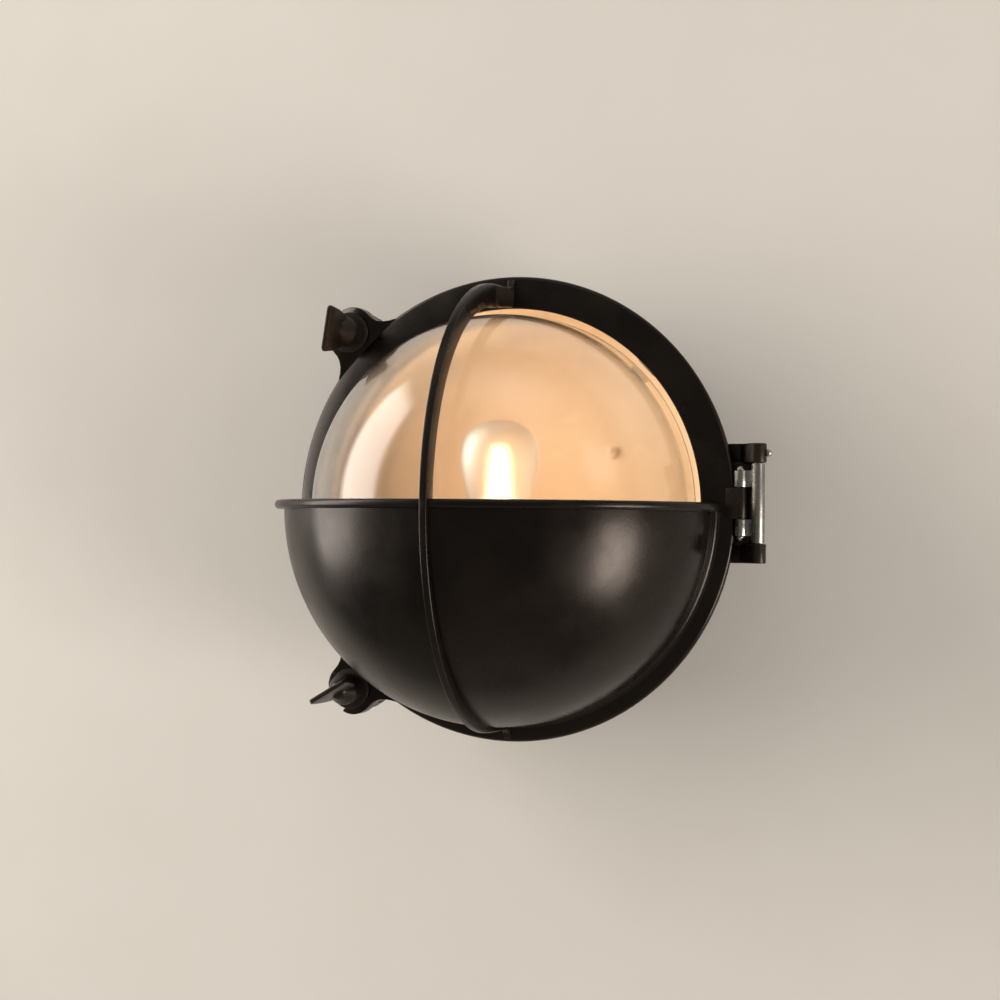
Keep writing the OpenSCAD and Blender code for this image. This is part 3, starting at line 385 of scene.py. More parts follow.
def block(low, high):
    bm = bmesh.new()
    bmesh.ops.create_cube(bm, size=1)
    low, high = Vector(low) * mm, Vector(high) * mm
    bmesh.ops.scale(bm, vec=high - low, verts=bm.verts)
    bmesh.ops.translate(bm, vec=(low + high) / 2, verts=bm.verts)
    return bm


def atBearing(bearing, outwards=0, depth=0):
    # local x points outwards at a bearing and local z away from the wall
    return (Matrix.Rotation(math.pi / 2, 4, "X") @ Matrix.Rotation(math.radians(bearing), 4, "Z")
            @ Matrix.Translation(Vector((outwards, 0, depth)) * mm))


def smoothCopy(node, name, roundMm=0.0, sharpAt=35):
    # the node's own shape, joined up, with its sharp edges broken
    bm = bmesh.new()
    bm.from_mesh(frame["nodes"][node].data)
    bmesh.ops.remove_doubles(bm, verts=bm.verts, dist=1e-6)
    if roundMm:
        bmesh.ops.dissolve_limit(bm, angle_limit=math.radians(0.6), verts=bm.verts, edges=bm.edges)
        softened(bm, roundMm)
    return addPiece(name, bm, node, sharpAt=sharpAt)


ringSizes = {"outside": 105, "inside": 89.9, "plane": 50, "rise": 3.6, "back": 46.5, "draft": 0.7,
             "round": 1.8, "pocket": 92.1, "pocketFloor": 51.5}
coverSizes = {"radius": 96.9, "reach": 83, "centre": 65.9, "thick": 3, "top": 3, "lipOut": 4.8, "lipFront": 1.4,
              "lipHeight": 4}
barSizes = {"wide": 3.3, "deep": 7.6, "sideDeep": 10.3, "footDeep": 8.2, "radius": 98.8, "reach": 76.6, "centre": 74.6,
            "round": 0.55}
boltSizes = {"out": 113, "pivot": 30, "upper": 134.3, "lower": 227.3, "earRadius": 12, "slot": 6.6, "face": 53}
hingeSizes = {"inner": 106.6, "outer": 114.4, "pin": 48.5, "up": 3, "knuckle": 13.6, "barrel": 3, "arm": 7.1}


def nearRing(bm, r, d):
    # the round edges of a spun shape at this radius and distance from the wall
    def hit(v):
        return abs(math.hypot(v.co.x, v.co.z) - r * mm) < 2e-5 and abs(-v.co.y - d * mm) < 2e-5
    return [e for e in bm.edges if hit(e.verts[0]) and hit(e.verts[1])]


def roundRing(bm, r, d, roundMm, segments):
    bmesh.ops.bevel(bm, geom=nearRing(bm, r, d), offset=roundMm * mm, segments=segments, affect="EDGES",
                    profile=0.5, material=-1, clamp_overlap=True)


def makeRing(v, h):
    front = v["plane"] + v["rise"]
    bm = spun([(v["inside"], v["pocketFloor"]), (v["inside"], front), (v["outside"], v["plane"]),
               (v["outside"] - v["draft"], v["back"]), (v["pocket"], v["back"]), (v["pocket"], v["pocketFloor"])], 180)
    roundRing(bm, v["outside"], v["plane"], v["round"], 5)
    roundRing(bm, v["inside"], front, 0.8, 4)
    roundRing(bm, v["outside"] - v["draft"], v["back"], 0.5, 2)
    for side in (-1, 1):  # room for the link's two eyes
        low = h["up"] + side * (h["knuckle"] / 2 + 0.3 + h["arm"] / 2) - h["arm"] / 2 - 0.3
        bm = carved(bm, rod(h["barrel"] + 0.5, h["arm"] + 0.6, (h["inner"], -h["pin"], low), (0, 0, 1)))
    return bm


def makeCover(v, ring):
    low = ring["plane"] + 1.4
    start = math.degrees(math.asin((low - v["centre"]) / v["reach"]))
    inner = (v["radius"] - v["thick"], v["reach"] - v["thick"])
    innerStart = math.degrees(math.asin((low - v["centre"]) / inner[1]))
    bm = spun(arc((0, v["centre"]), (v["radius"], v["reach"]), start, 90, 64)
              + arc((0, v["centre"]), inner, 90, innerStart, 64), 192)
    gone = bmesh.ops.bisect_plane(bm, geom=bm.verts[:] + bm.edges[:] + bm.faces[:], dist=1e-7,
                                  plane_co=(0, 0, (v["top"] - 0.6) * mm), plane_no=(0, 0, 1), clear_outer=True)
    rim = [e for e in gone["geom_cut"] if isinstance(e, bmesh.types.BMEdge)]
    bmesh.ops.holes_fill(bm, edges=rim, sides=0)
    return bm


def makeCoverFillet(v, ring):
    # the cast corner where the cover meets the ring's face
    bm = spun([(95.0, 51.2), (98.4, 51.2), (98.4, 51.56), (97.3, 51.98), (96.6, 52.6), (96.2, 53.4), (96.05, 54.6),
               (95.0, 54.6)], 192)
    bmesh.ops.bisect_plane(bm, geom=bm.verts[:] + bm.edges[:] + bm.faces[:], dist=1e-7, plane_co=(0, 0, 0),
                           plane_no=(0, 0, 1), clear_outer=True)
    return bm


def ellipseBand(outer, inner, centre, plane, sides=224):
    # a flat band between two ellipses, in plan or from the side, kept in front of the plane
    bm = bmesh.new()
    for wide, deep in (outer, inner):
        loop = bmesh.ops.create_circle(bm, cap_ends=False, segments=sides, radius=1)["verts"]
        bmesh.ops.scale(bm, vec=Vector((wide, deep, 1)) * mm, verts=loop)
    bmesh.ops.bridge_loops(bm, edges=bm.edges[:])
    bmesh.ops.translate(bm, vec=(0, -centre * mm, 0), verts=bm.verts)
    bmesh.ops.bisect_plane(bm, geom=bm.verts[:] + bm.edges[:] + bm.faces[:], dist=1e-7,
                           plane_co=(0, -plane * mm, 0), plane_no=(0, 1, 0), clear_outer=True)
    return bm


def thickened(bm, vec):
    grown = bmesh.ops.extrude_face_region(bm, geom=bm.faces[:])
    risen = [v for v in grown["geom"] if isinstance(v, bmesh.types.BMVert)]
    bmesh.ops.translate(bm, vec=Vector(vec) * mm, verts=risen)
    return tidyShape(bm)


def makeLip(v, ring):
    # a half-round bead along the cover's top edge, wider at the sides than in front
    outer = (v["radius"] + v["lipOut"], v["reach"] + v["lipFront"])
    bm = ellipseBand(outer, (v["radius"] - v["thick"], v["reach"] - v["thick"]), v["centre"], ring["plane"] + 0.4)
    bmesh.ops.translate(bm, vec=(0, 0, (v["top"] - v["lipHeight"]) * mm), verts=bm.verts)
    thickened(bm, (0, 0, v["lipHeight"]))

    def outside(p):
        across, ahead = p.co.x / (outer[0] * mm), (p.co.y + v["centre"] * mm) / (outer[1] * mm)
        return across * across + ahead * ahead > 0.9985
    edges = [e for e in bm.edges if all(outside(p) for p in e.verts) and abs(e.verts[0].co.z - e.verts[1].co.z) < 1e-6]
    bmesh.ops.bevel(bm, geom=edges, offset=v["lipHeight"] * 0.47 * mm, segments=6, affect="EDGES", profile=0.5,
                    material=-1, clamp_overlap=True)
    inner = [e for e in bm.edges if len(e.link_faces) == 2 and e.calc_face_angle() > math.radians(60)]
    bmesh.ops.bevel(bm, geom=inner, offset=0.5 * mm, segments=3, affect="EDGES", profile=0.5, material=-1,
                    clamp_overlap=True)
    return bm


def makeBar(v, ring):
    inner = (v["radius"] - v["sideDeep"], v["reach"] - v["deep"])
    bm = ellipseBand((v["radius"], v["reach"]), inner, v["centre"], v["centre"], 224)
    ends = [e for e in bm.edges if all(abs(p.co.y + v["centre"] * mm) < 1e-6 for p in e.verts)]
    for step in range(1, 10):  # the legs draw in a little, to land on the ring's face
        legs = bmesh.ops.extrude_edge_only(bm, edges=ends)["geom"]
        ends = [e for e in legs if isinstance(e, bmesh.types.BMEdge)]
        depth = inner[0] + (v["sideDeep"] - v["footDeep"]) * step / 9
        for p in (p for p in legs if isinstance(p, bmesh.types.BMVert)):
            p.co.y += (v["centre"] - ring["plane"] - 1) / 9 * mm
            if abs(p.co.x) < (v["radius"] - 1) * mm:
                p.co.x = math.copysign(depth * mm, p.co.x)
    moved(bm, Matrix.Rotation(math.pi / 2, 4, "Y"))
    thickened(bm, (v["wide"], 0, 0))
    bmesh.ops.translate(bm, vec=(-v["wide"] / 2 * mm, 0, 0), verts=bm.verts)
    softened(bm, v["round"], 3)
    foot = [(97.6, 51.2), (103.1, 50.2), (103.1, 51.6), (101.0, 52.3), (99.9, 53.3), (99.2, 54.7), (98.8, 56.8),
            (97.6, 56.8)]
    feet = [softened(slab([(side * z, d) for z, d in foot], v["wide"], "side"), 0.4) for side in (-1, 1)]
    return combined([bm] + feet)


def makeEar(v, ring, bearing):
    # a slotted lug whose face follows the swing of its bolt
    r, s = v["earRadius"], v["out"]
    half = [(97, 12), (101.6, 20.4), (102.6, 19.4), (103.9, 17.0), (105.6, 14.7), (107.6, 13.1), (109.8, 12.25), (s, r)]
    web = slab([(x, -y) for x, y in half] + half[::-1], 24, "local")
    disc = rod(r, 24, (s, 0, -12), (0, 0, 1), 96)
    ear = carved(web, disc, "UNION")
    moved(ear, Matrix.Translation((0, 0, 0.050)))
    side = slab([(93.9, 50), (93.9, 46.5), (125.6, 46.5), (125.0, 49.7), (122.2, 51.1), (119.2, 52.15), (116.2, 52.8),
                 (113, 53), (110, 52.8), (107.4, 52.25), (105, 51.5), (103, 50.7), (101, 49.8)], 60, "local")
    moved(side, Matrix.Rotation(math.pi / 2, 4, "X"))
    ear = carved(ear, side, "INTERSECT")
    slot = carved(rod(v["slot"] / 2, 40, (s, 0, 30), (0, 0, 1), 64),
                  block((s, -v["slot"] / 2, 30), (s + 30, v["slot"] / 2, 70)), "UNION")
    ear = carved(ear, slot)
    bmesh.ops.dissolve_limit(ear, angle_limit=math.radians(0.5), verts=ear.verts, edges=ear.edges)
    softened(ear, 0.7, 3, 40)
    return moved(ear, atBearing(bearing))


def makeKnuckle(h):
    low = h["up"] - h["knuckle"] / 2
    barrel = softened(rod(h["barrel"], h["knuckle"], (h["inner"], -h["pin"], low), (0, 0, 1)), 0.35)
    root = softened(block((100.5, -h["pin"] - h["barrel"], low), (h["inner"], -46.5, low + h["knuckle"])), 0.35)
    return combined([barrel, root])


frontParts = [makeRing(ringSizes, hingeSizes), makeCover(coverSizes, ringSizes), makeCoverFillet(coverSizes, ringSizes),
              makeLip(coverSizes, ringSizes), makeBar(barSizes, ringSizes), makeKnuckle(hingeSizes)]
frontParts += [makeEar(boltSizes, ringSizes, boltSizes[side]) for side in ("upper", "lower")]
addPiece("castFrontFrame", combined(frontParts), "front_frame", sharpAt=32)
print("front frame made")

glassSizes = {"radius": 86.6, "reach": 74, "centre": 61, "thick": 1.5, "flange": 91.6, "back": 46.5, "flangeThick": 3.5}


def makeGlass(v):
    inner = (v["radius"] - v["thick"], v["reach"] - v["thick"])
    bm = spun([(inner[0], v["back"]), (v["flange"], v["back"]), (v["flange"], v["back"] + v["flangeThick"]),
               (v["radius"], v["back"] + v["flangeThick"])]
              + arc((0, v["centre"]), (v["radius"], v["reach"]), 0, 90, 64)
              + arc((0, v["centre"]), inner, 90, 0, 64), 192)
    return softened(bm, 0.5, 3, 50)


addPiece("glassDome", makeGlass(glassSizes), "glass_dome", sharpAt=60)

panSizes = {"plane": 20, "thick": 1, "floor": 72, "rim": 92.2, "rimPlane": 40.4, "flange": 96.2}


def makeReflector(v):
    rise = (v["rim"] - v["floor"], v["rimPlane"] - v["plane"])
    centre = (v["floor"], v["rimPlane"])
    back = arc(centre, rise, -90, 0, 20)
    front = arc(centre, (rise[0] - v["thick"], rise[1] - v["thick"]), 0, -90, 20)
    bm = spun([(0, v["plane"])] + back + [(v["flange"], v["rimPlane"]), (v["flange"], v["rimPlane"] + v["thick"]),
              (v["rim"] - v["thick"], v["rimPlane"] + v["thick"])] + front + [(0, v["plane"] + v["thick"])], 160)
    bm = carved(bm, rod(6.1, 6, (0, -24, -33.8), (0, 1, 0)))  # the lamp leads pass here
    return softened(bm, 0.3, 2, 50)


addPiece("reflectorPan", makeReflector(panSizes), "reflector", sharpAt=50)

housingSizes = {"rim": 102.5, "side": 96.5, "back": 86, "rimPlane": 45, "rimBack": 40, "rimIn": 97.5, "wall": 3.5,
                "floor": 4, "groove": 98.4, "grooveWide": 3.2, "screwCircle": 65, "screwHole": 2.75}


def makeHousing(v, h, b):
    shell = spun([
        (0, 0), (24, 0), (42, 0), (50, 0), (60, 0), (70, 0), (78, 0), (v["back"], 0), (v["side"], v["rimBack"] - 4), (v["rim"], v["rimBack"]), (v["rim"], v["rimPlane"]),
        (v["groove"] + v["grooveWide"], v["rimPlane"]), (v["groove"] + v["grooveWide"], v["rimPlane"] - 1.5),
        (v["groove"], v["rimPlane"] - 1.5), (v["groove"], v["rimPlane"]), (v["rimIn"], v["rimPlane"]),
        (v["rimIn"], v["rimBack"] + 1), (v["side"] - v["wall"], v["rimBack"] - 2),
        (v["back"] - v["wall"] + 0.4, v["floor"]), (0, v["floor"])], 180)
    roundRing(shell, v["back"], 0, 2.2, 4)
    roundRing(shell, v["side"], v["rimBack"] - 4, 3.0, 4)
    roundRing(shell, v["rim"], v["rimBack"], 1.2, 3)
    roundRing(shell, v["rim"], v["rimPlane"], 0.6, 3)
    roundRing(shell, v["back"] - v["wall"] + 0.4, v["floor"], 3.5, 4)
    boss = rod(13, 6.5, (0, 0, 56), (0, -1, 0), 64)
    shell = carved(shell, boss, "UNION")
    for turn in (45, 135, 225, 315):
        hole = rod(v["screwHole"], 10, (0, 0, 0), (0, 0, 1), 48)
        shell = carved(shell, moved(hole, atBearing(turn, v["screwCircle"], -3)))
    shell = carved(shell, rod(8, 12, (0, 2, 56), (0, -1, 0), 64))
    shell = carved(shell, rod(11, 4.2, (0, 2, 56), (0, -1, 0), 64))
    parts = [shell]
    posts = [(46.8 * math.cos(math.radians(t)), 46.8 * math.sin(math.radians(t)), 20) for t in (34, 214)]
    posts += [(8, -50.68, 20), (-8, -50.68, 20), (-32, 42, 10)]
    for x, z, top in posts:
        parts.append(softened(rod(5.3, top - 3.5, (x, -3.5, z), (0, -1, 0), 48, 4.5), 0.5))
    lug = [(81, 27), (81, 45), (105.8, 45), (112.3, 51.45), (113.0, 51.82), (114.4, 52.1), (115.8, 51.82),
           (116.95, 51.05), (117.72, 49.9), (118.0, 48.5), (117.78, 47.27), (113.4, 40)]
    for low in (-26.1, 17.6):
        outline = slab(lug, 8.5, "plan")
        parts.append(softened(moved(outline, Matrix.Translation((0, 0, (h["up"] + low + 4.25) * mm))), 0.6, 3))
    web = slab([(81, 28), (81, 45), (115.4, 45), (112.9, 40.5)], 37.2, "plan")
    parts.append(softened(moved(web, Matrix.Translation((0, 0, h["up"] * mm))), 0.5))
    cheek = [(89, 15), (89, 42), (101.5, 42)] + arc((b["out"], b["pivot"]), (6.6, 6.6), 70, -60, 12)
    for bearing in (b["upper"], b["lower"]):
        for side in (-1, 1):
            wall = moved(slab(cheek, 4.5, "local"), Matrix.Rotation(math.pi / 2, 4, "X"))
            moved(wall, Matrix.Translation((0, side * 5.55 * mm, 0)))
            parts.append(moved(softened(wall, 0.6, 3), atBearing(bearing)))
    # the inside stays open where lugs and cheeks pass the wall
    inside = [(0, 4.2), (82.0, 4.2), (92.8, 38), (97.0, 41), (97.0, 60), (0, 60)]
    return combined(parts[:-7] + [carved(part, spun(inside, 96)) for part in parts[-7:]])


addPiece("castHousing", makeHousing(housingSizes, hingeSizes, boltSizes), "housing", sharpAt=32)
print("housing, reflector and glass made")

lampSizes = {"rodTurns": (20, 110, 200, 290), "rod": 0.9, "rodLow": -10, "rodHigh": 27, "rodSpread": 5.4,
             "rodGather": 1.7, "plane": 64, "holderBase": -65, "capLow": -44, "bulbBase": -24.2, "bulb": 17.5, "height": 63.5,
             "wall": 0.8, "neck": 6.2}
bulbCurve = [(0.42, 0.07), (0.47, 0.15), (0.57, 0.26), (0.71, 0.39), (0.85, 0.51), (0.95, 0.61), (0.995, 0.69),
             (1, 0.74), (0.985, 0.80), (0.93, 0.86), (0.83, 0.91), (0.67, 0.95), (0.47, 0.98), (0.24, 0.995), (0, 1)]


def makeBulb(v):
    def wall(inwards):
        r, tall = v["bulb"] - inwards, v["height"] - inwards
        foot = [(v["neck"] - inwards, v["bulbBase"]), (v["neck"] + 0.5 - inwards, v["bulbBase"] + tall * 0.03)]
        return foot + [(r * a, v["bulbBase"] + tall * b) for a, b in bulbCurve]
    return spun(wall(0) + wall(v["wall"])[::-1], 64, (0, v["plane"]))


bulb = addPiece("bulbGlass", makeBulb(lampSizes), "bulb_glass", sharpAt=70)
soft = bulb.modifiers.new("soft", "SUBSURF")
soft.levels = soft.render_levels = 1


def makeHolder(v):
    z, r, tall = v["holderBase"], 14, 40
    bm = spun([(0, z - 9), (5, z - 9), (5, z), (r * 0.72, z), (r * 0.8, z + 2), (r * 0.8, z + 7), (r, z + 11),
               (r, z + tall * 0.62), (r - 1.2, z + tall * 0.66), (r - 1.2, z + tall), (7.1, z + tall),
               (7.1, v["capLow"]), (0, v["capLow"])], 96, (0, v["plane"]))
    for side in (-1, 1):
        bm = carved(bm, rod(1.4, 14, (side * 4, -v["plane"] + 8.6, -33.8), (0, 1, 0), 32))
    return softened(bm, 0.6, 3, 30)


addPiece("lampHolder", makeHolder(lampSizes), "lampholder", sharpAt=40)


def makeCap(v):
    # a screw cap: rolled thread ridges over an insulated foot
    z = v["capLow"]
    ridges = []
    for i in range(4):
        low = z + 4.2 + 2.8 * i
        ridges += [(6.35, low), (6.75, low + 0.7), (6.8, low + 1.1), (6.75, low + 1.5), (6.35, low + 2.2)]
    return spun([(0, z), (3, z), (3.6, z + 1.4), (6.0, z + 3)] + ridges
                + [(6.8, z + 15.4), (6.8, v["bulbBase"]), (0, v["bulbBase"])], 96, (0, v["plane"]))


addPiece("bulbCap", makeCap(lampSizes), "bulb_cap", sharpAt=40)


def makeGlowRods(v):
    # four thin lit rods that lean together towards the top of a glass stem
    rods = []
    for turn in v["rodTurns"]:
        across = Vector((math.cos(math.radians(turn)), math.sin(math.radians(turn)), 0))
        low = across * v["rodSpread"] + Vector((0, -v["plane"], v["rodLow"]))
        high = across * v["rodGather"] + Vector((0, -v["plane"], v["rodHigh"]))
        rods.append(softened(rod(v["rod"], (high - low).length, low, high - low, 24), 0.3))
    return combined(rods)


def makeStem(v):
    z, low, high = v["bulbBase"], v["rodLow"], v["rodHigh"]
    return spun([(0, z), (3.4, z), (2.9, z + 5), (2.0, z + 11), (0.7, low - 4), (0.5, low - 1), (0.5, high + 0.5),
                 (1.6, high + 1.2), (0, high + 2)], 48, (0, v["plane"]))


addPiece("glowRods", makeGlowRods(lampSizes), "bulb_filament")
addPiece("glowStem", makeStem(lampSizes), "bulb_filament", "lamp_glass")

nutSizes = {"seat": 54.6, "radius": 7, "tall": 9, "long": 24.4, "wide": 21, "thick": 3.6, "bore": 3.06, "boreDeep": 12.8,
            "upper": 81.5, "lower": 30.5}


def makeWingNut(v, b, side):
    # a turned barrel that runs into a flat spade
    r, tall, long, half = v["radius"], v["tall"], v["long"], v["wide"] / 2
    barrel = spun([(0, 0), (r, 0), (r, tall * 0.83), (r * 0.86, tall), (r * 0.55, tall * 1.5), (0, tall * 1.78)], 96)
    moved(barrel, Matrix.Rotation(-math.pi / 2, 4, "X"))
    softened(barrel, 0.6, 3, 20)
    outline = [(-r * 0.86, tall * 0.8), (-r * 1.08, tall * 1.12), (-half * 0.8, tall * 1.35), (-half * 0.9, long * 0.64),
               (-half, long - 1.6), (-half + 1.4, long)]
    outline += [(-x, y) for x, y in reversed(outline)]
    spade = slab(outline, v["thick"], "local")
    moved(spade, Matrix.Rotation(math.pi / 2, 4, "X"))
    for p in spade.verts:  # thick at the barrel, thin at the end
        share = p.co.z / (long * mm)
        p.co.y *= 1.5 - 0.95 * share
    softened(spade, 0.5, 3, 30)
    nut = carved(barrel, spade, "UNION")
    nut = carved(nut, rod(v["bore"], v["boreDeep"] + 1, (0, 0, -1), (0, 0, 1)))
    bearing = b[side]
    turn = Matrix.Rotation(math.radians(v[side] - bearing), 4, "Z")
    return moved(nut, atBearing(bearing, b["out"], v["seat"]) @ turn)


boltShape = {"radius": 3, "eye": 6.2, "eyeThick": 6, "end": 66.5, "pitch": 1.25, "threadFrom": 14, "pin": 2.56}


def makeSwingBolt(v, b, side):
    # an eye bolt with a cut thread, drawn as rings of the thread's pitch
    long = v["end"] - b["pivot"]
    r = v["radius"]
    profile = [(0, 0), (r - 0.12, 0), (r - 0.12, v["threadFrom"])]
    h = v["threadFrom"]
    while h + v["pitch"] < long - 0.8:
        profile += [(r - 0.55, h + v["pitch"] * 0.35), (r - 0.55, h + v["pitch"] * 0.45), (r, h + v["pitch"] * 0.85),
                    (r, h + v["pitch"] * 0.95)]
        h += v["pitch"]
    profile += [(r - 0.4, long - 0.5), (r - 0.9, long), (0, long)]
    shank = moved(spun(profile, 48), Matrix.Rotation(-math.pi / 2, 4, "X"))
    eye = softened(rod(v["eye"], v["eyeThick"], (0, -v["eyeThick"] / 2, 0), (0, 1, 0), 64), 0.6, 3)
    bolt = carved(shank, eye, "UNION")
    bolt = carved(bolt, rod(v["pin"], 20, (0, -10, 0), (0, 1, 0)))
    return moved(bolt, atBearing(b[side], b["out"], b["pivot"]))


def makePivotPin(b, side):
    # a pin with both ends hammered to domes
    pin = rod(2.5, 15.6, (0, -7.8, 0), (0, 1, 0))
    heads = []
    for end in (-1, 1):
        head = rod(3.4, 1.2, (0, end * 7.8, 0), (0, end, 0), 48, 3.0)
        heads.append(softened(head, 0.45, 3, 30))
    return moved(combined([pin] + heads), atBearing(b[side], b["out"], b["pivot"]))


def makeWasher(b, side):
    ring = moved(spun([(3.2, 53.3), (9.25, 53.3), (9.25, 54.5), (3.2, 54.5)], 96), Matrix.Rotation(-math.pi / 2, 4, "X"))
    return moved(softened(ring, 0.25, 2), atBearing(b[side], b["out"], 0))


for side in ("upper", "lower"):
    addPiece(side + "WingNut", makeWingNut(nutSizes, boltSizes, side), "wing_nut_" + side, sharpAt=30)
    addPiece(side + "SwingBolt", makeSwingBolt(boltShape, boltSizes, side), "swing_bolt_" + side, sharpAt=30)
    addPiece(side + "PivotPin", makePivotPin(boltSizes, side), "bolt_pivot_pin_" + side)
    addPiece(side + "Washer", makeWasher(boltSizes, side), "nut_washer_" + side)
print("lamp and fastenings made")

copies = {
    "housing_gasket": ("rimGasket", 0.3), "cable_grommet": ("rearGrommet", 0.3), "terminal_block": ("terminalBlock", 0.3),
    "earth_screw": ("earthScrew", 0.15), "reflector_screws": ("reflectorScrews", 0.15),
    "lampholder_bracket": ("lampBracket", 0.25), "bracket_screws": ("bracketScrews", 0.15),
    "holder_nut": ("holderNut", 0.3), "lamp_leads": ("lampLeads", 0), "hinge_outer_pin": ("outerPin", 0.15),
    "hinge_locking_screw": ("lockingScrew", 0), "hinge_link": ("hingeLink", 0.25), "hinge_inner_pin": ("innerPin", 0),
    "glass_seal": ("glassSeal", 0.3), "glass_clips": ("glassClips", 0.2), "clip_screws": ("clipScrews", 0.15),
}
for node, (name, roundMm) in copies.items():
    smoothCopy(node, name, roundMm)
print("small pieces made")


# The wall, the floor and the soft lamps aren't part of the object
room = {"wallColour": "#e6e1d9", "wallPatch": "#e1dbd2", "wallPaintedShade": "#96928c", "wallSize": 6.0, "opening": 0.083,
        "gap": 0.0006, "floorDrop": 2.2, "worldLight": 0.20}


def oneSided(name, paintedShade=None):
    # a pale matt wall that can be looked through from behind, with painted shade towards its edges when given a shade
    # colour
    material, tree = newMaterial(name)
    coords = addNode(tree, "ShaderNodeTexCoord")
    cloud = mottle(tree, coords, 60, 4)
    tint = blendColour(tree, cloud.outputs["Fac"], linear(room["wallColour"]), linear(room["wallPatch"]))
    if paintedShade:  # painted shade: greyer away from the middle, where the lamps stand close to it
        # a spherical spread of grey painted over the wall as shade, holding back the lamps' light far from the object
        wide = addNode(tree, "ShaderNodeMapping", {"Scale": (0.55, 0.55, 0.55)}, {"Vector": coords.outputs["Object"]})
        ball = addNode(tree, "ShaderNodeTexGradient", {"gradient_type": "SPHERICAL"}, {"Vector": wide.outputs["Vector"]})
        tint = blendColour(tree, spread(tree, ball.outputs["Fac"], 0.42, 0.80, 1, 0), tint, linear(paintedShade))
    matt = addNode(tree, "ShaderNodeBsdfDiffuse", {}, {"Color": tint})
    clear = addNode(tree, "ShaderNodeBsdfTransparent")
    side = addNode(tree, "ShaderNodeNewGeometry")
    both = addNode(tree, "ShaderNodeMixShader", {}, {0: side.outputs["Backfacing"], 1: matt.outputs["BSDF"],
                                                     2: clear.outputs["BSDF"]})
    finishSurface(tree, both.outputs["Shader"])
    return material


def addStage(name, bm, place, material):
    if bm.faces[:][0].normal.z < 0:
        bmesh.ops.reverse_faces(bm, faces=bm.faces[:])
    moved(bm, place)
    mesh = bpy.data.meshes.new(name)
    bm.to_mesh(mesh)
    bm.free()
    mesh.materials.append(material)
    sheet = bpy.data.objects.new(name, mesh)
    bpy.context.scene.collection.objects.link(sheet)


def makeWall(v):
    # open behind the housing, so that light reaches its back
    bm = bmesh.new()
    for radius in (v["opening"], v["wallSize"] / 2):
        bmesh.ops.create_circle(bm, cap_ends=False, segments=96, radius=radius)
    bmesh.ops.bridge_loops(bm, edges=bm.edges[:])
    bm.normal_update()
    return bm


def makeFloor(v):
    bm = bmesh.new()
    bmesh.ops.create_grid(bm, x_segments=1, y_segments=1, size=v["wallSize"] / 2)
    bm.normal_update()
    return bm


addStage("backWall", makeWall(room), Matrix.Translation((0, room["gap"], 0)) @ Matrix.Rotation(math.radians(90), 4, "X"),
         oneSided("paleWall", room["wallPaintedShade"]))
addStage("paleFloor", makeFloor(room), Matrix.Translation((0, 0, -room["floorDrop"])), oneSided("paleFloor"))

world = bpy.data.worlds.new("softRoom")
bpy.context.scene.world = world
world.use_nodes = True
tree = world.node_tree
tree.nodes.clear()
dim = addNode(tree, "ShaderNodeBackground", {"Color": linear("#fffaf4"), "Strength": room["worldLight"]})
addNode(tree, "ShaderNodeOutputWorld", links={"Surface": dim.outputs["Background"]})

# place, aim, size, brightness, tint and soft edge of each lamp
lamps = {
    "leftWindow": {"place": (-1.55, -0.56, 0.525), "aim": (0, -0.50, 0.425), "size": (1.02, 2.55), "bright": 9.0,
                   "tint": "#fffaf4", "edge": 0.20},
    "rightWindow": {"place": (1.60, -0.53, -0.62), "aim": (0, -0.07, -0.02), "size": (0.90, 1.15), "bright": 16.5,
                    "tint": "#fffaf4", "edge": 0.28},
    "rightUpper": {"place": (1.50, -0.62, 0.60), "aim": (0, -0.10, 0.05), "size": (0.9, 1.0), "bright": 2.2,
                   "tint": "#fffaf4", "edge": 0.40},
    "ceiling": {"place": (0.0, -1.0, 1.9), "aim": (0, -0.6, 0), "size": (2.6, 1.6), "bright": 1.2,
                "tint": "#fffcf8", "edge": 0.45},
    "behind": {"place": (-0.75, 1.30, 0.75), "aim": (0, 0, 0), "size": (1.5, 1.1), "bright": 6.0,
               "tint": "#fffaf4", "edge": 0.45},
}


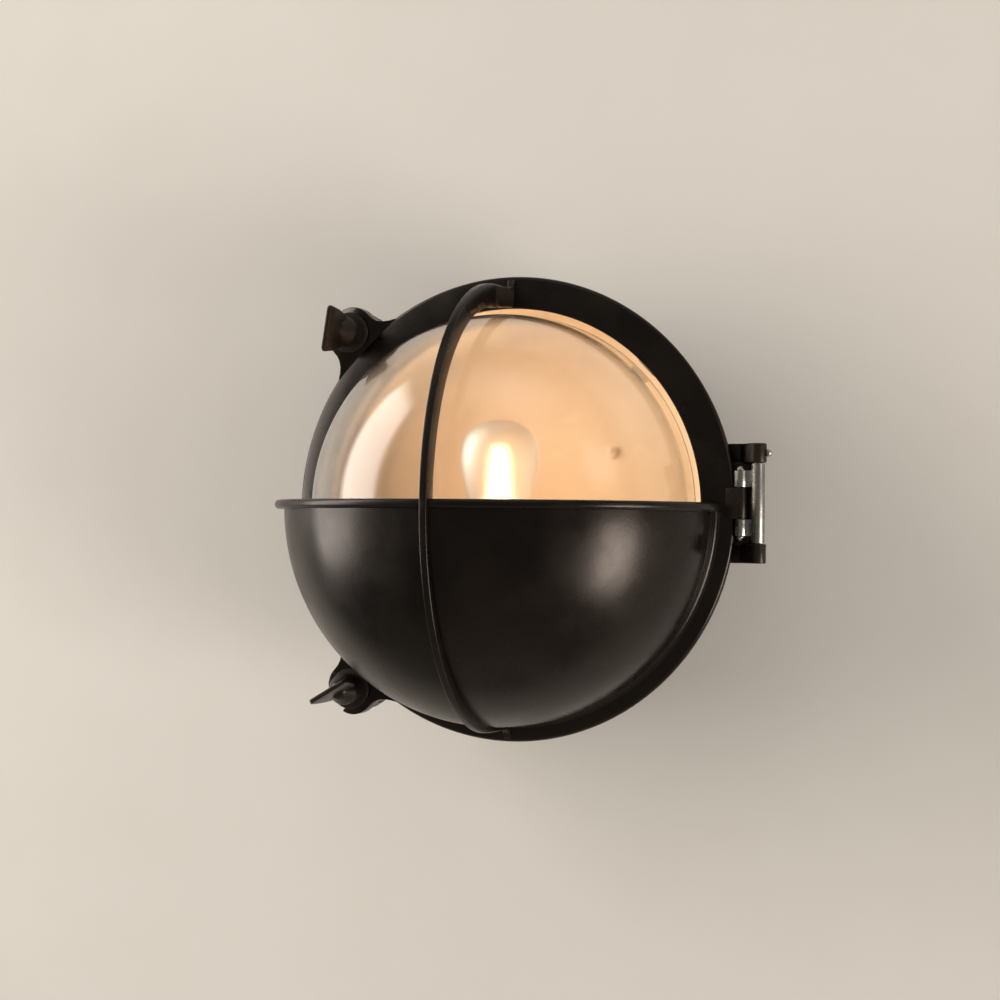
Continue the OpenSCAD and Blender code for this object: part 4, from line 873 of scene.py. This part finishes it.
def addLamp(name, v):
    # a soft box that fades towards its edges
    data = bpy.data.lights.new(name, "AREA")
    data.shape = "RECTANGLE"
    data.size, data.size_y = v["size"]
    data.energy = v["bright"] * math.pi * v["size"][0] * v["size"][1]
    data.color = linear(v["tint"])[:3]
    data.use_nodes = True
    tree = data.node_tree
    tree.nodes.clear()
    place = addNode(tree, "ShaderNodeNewGeometry")
    sides = addNode(tree, "ShaderNodeSeparateXYZ", {}, {"Vector": place.outputs["Parametric"]})
    fades = []
    for side in ("X", "Y"):
        away = addNode(tree, "ShaderNodeMath", {"operation": "PINGPONG", 1: 0.5}, {0: sides.outputs[side]})
        fades.append(addNode(tree, "ShaderNodeMapRange", {"interpolation_type": "SMOOTHSTEP", "From Min": 0.0,
                                                          "From Max": v["edge"]}, {"Value": away.outputs["Value"]}))
    both = addNode(tree, "ShaderNodeMath", {"operation": "MULTIPLY"},
                   {0: fades[0].outputs["Result"], 1: fades[1].outputs["Result"]})
    glow = addNode(tree, "ShaderNodeEmission", {}, {"Strength": both.outputs["Value"]})
    addNode(tree, "ShaderNodeOutputLight", links={"Surface": glow.outputs["Emission"]})
    lamp = bpy.data.objects.new(name, data)
    place, aim = Vector(v["place"]), Vector(v["aim"])
    lamp.matrix_world = Matrix.Translation(place) @ (aim - place).to_track_quat("-Z", "Y").to_matrix().to_4x4()
    lamp.visible_transmission = False  # the glass shows the room, not the soft boxes
    bpy.context.scene.collection.objects.link(lamp)


# the lit bulb's light, without the glare of its rods
bulbLight = {"place": (0, -0.064, 0.012), "radius": 0.016, "watts": 0.17, "tint": "#ffd2a8"}


def addBulbLight(v):
    data = bpy.data.lights.new("bulbLight", "POINT")
    data.energy, data.shadow_soft_size, data.color = v["watts"], v["radius"], linear(v["tint"])[:3]
    lamp = bpy.data.objects.new("bulbLight", data)
    lamp.matrix_world = Matrix.Translation(v["place"])
    lamp.visible_camera = lamp.visible_glossy = lamp.visible_transmission = False
    bpy.context.scene.collection.objects.link(lamp)


for name, v in lamps.items():
    addLamp(name, v)
addBulbLight(bulbLight)
print("wall and lamps placed")
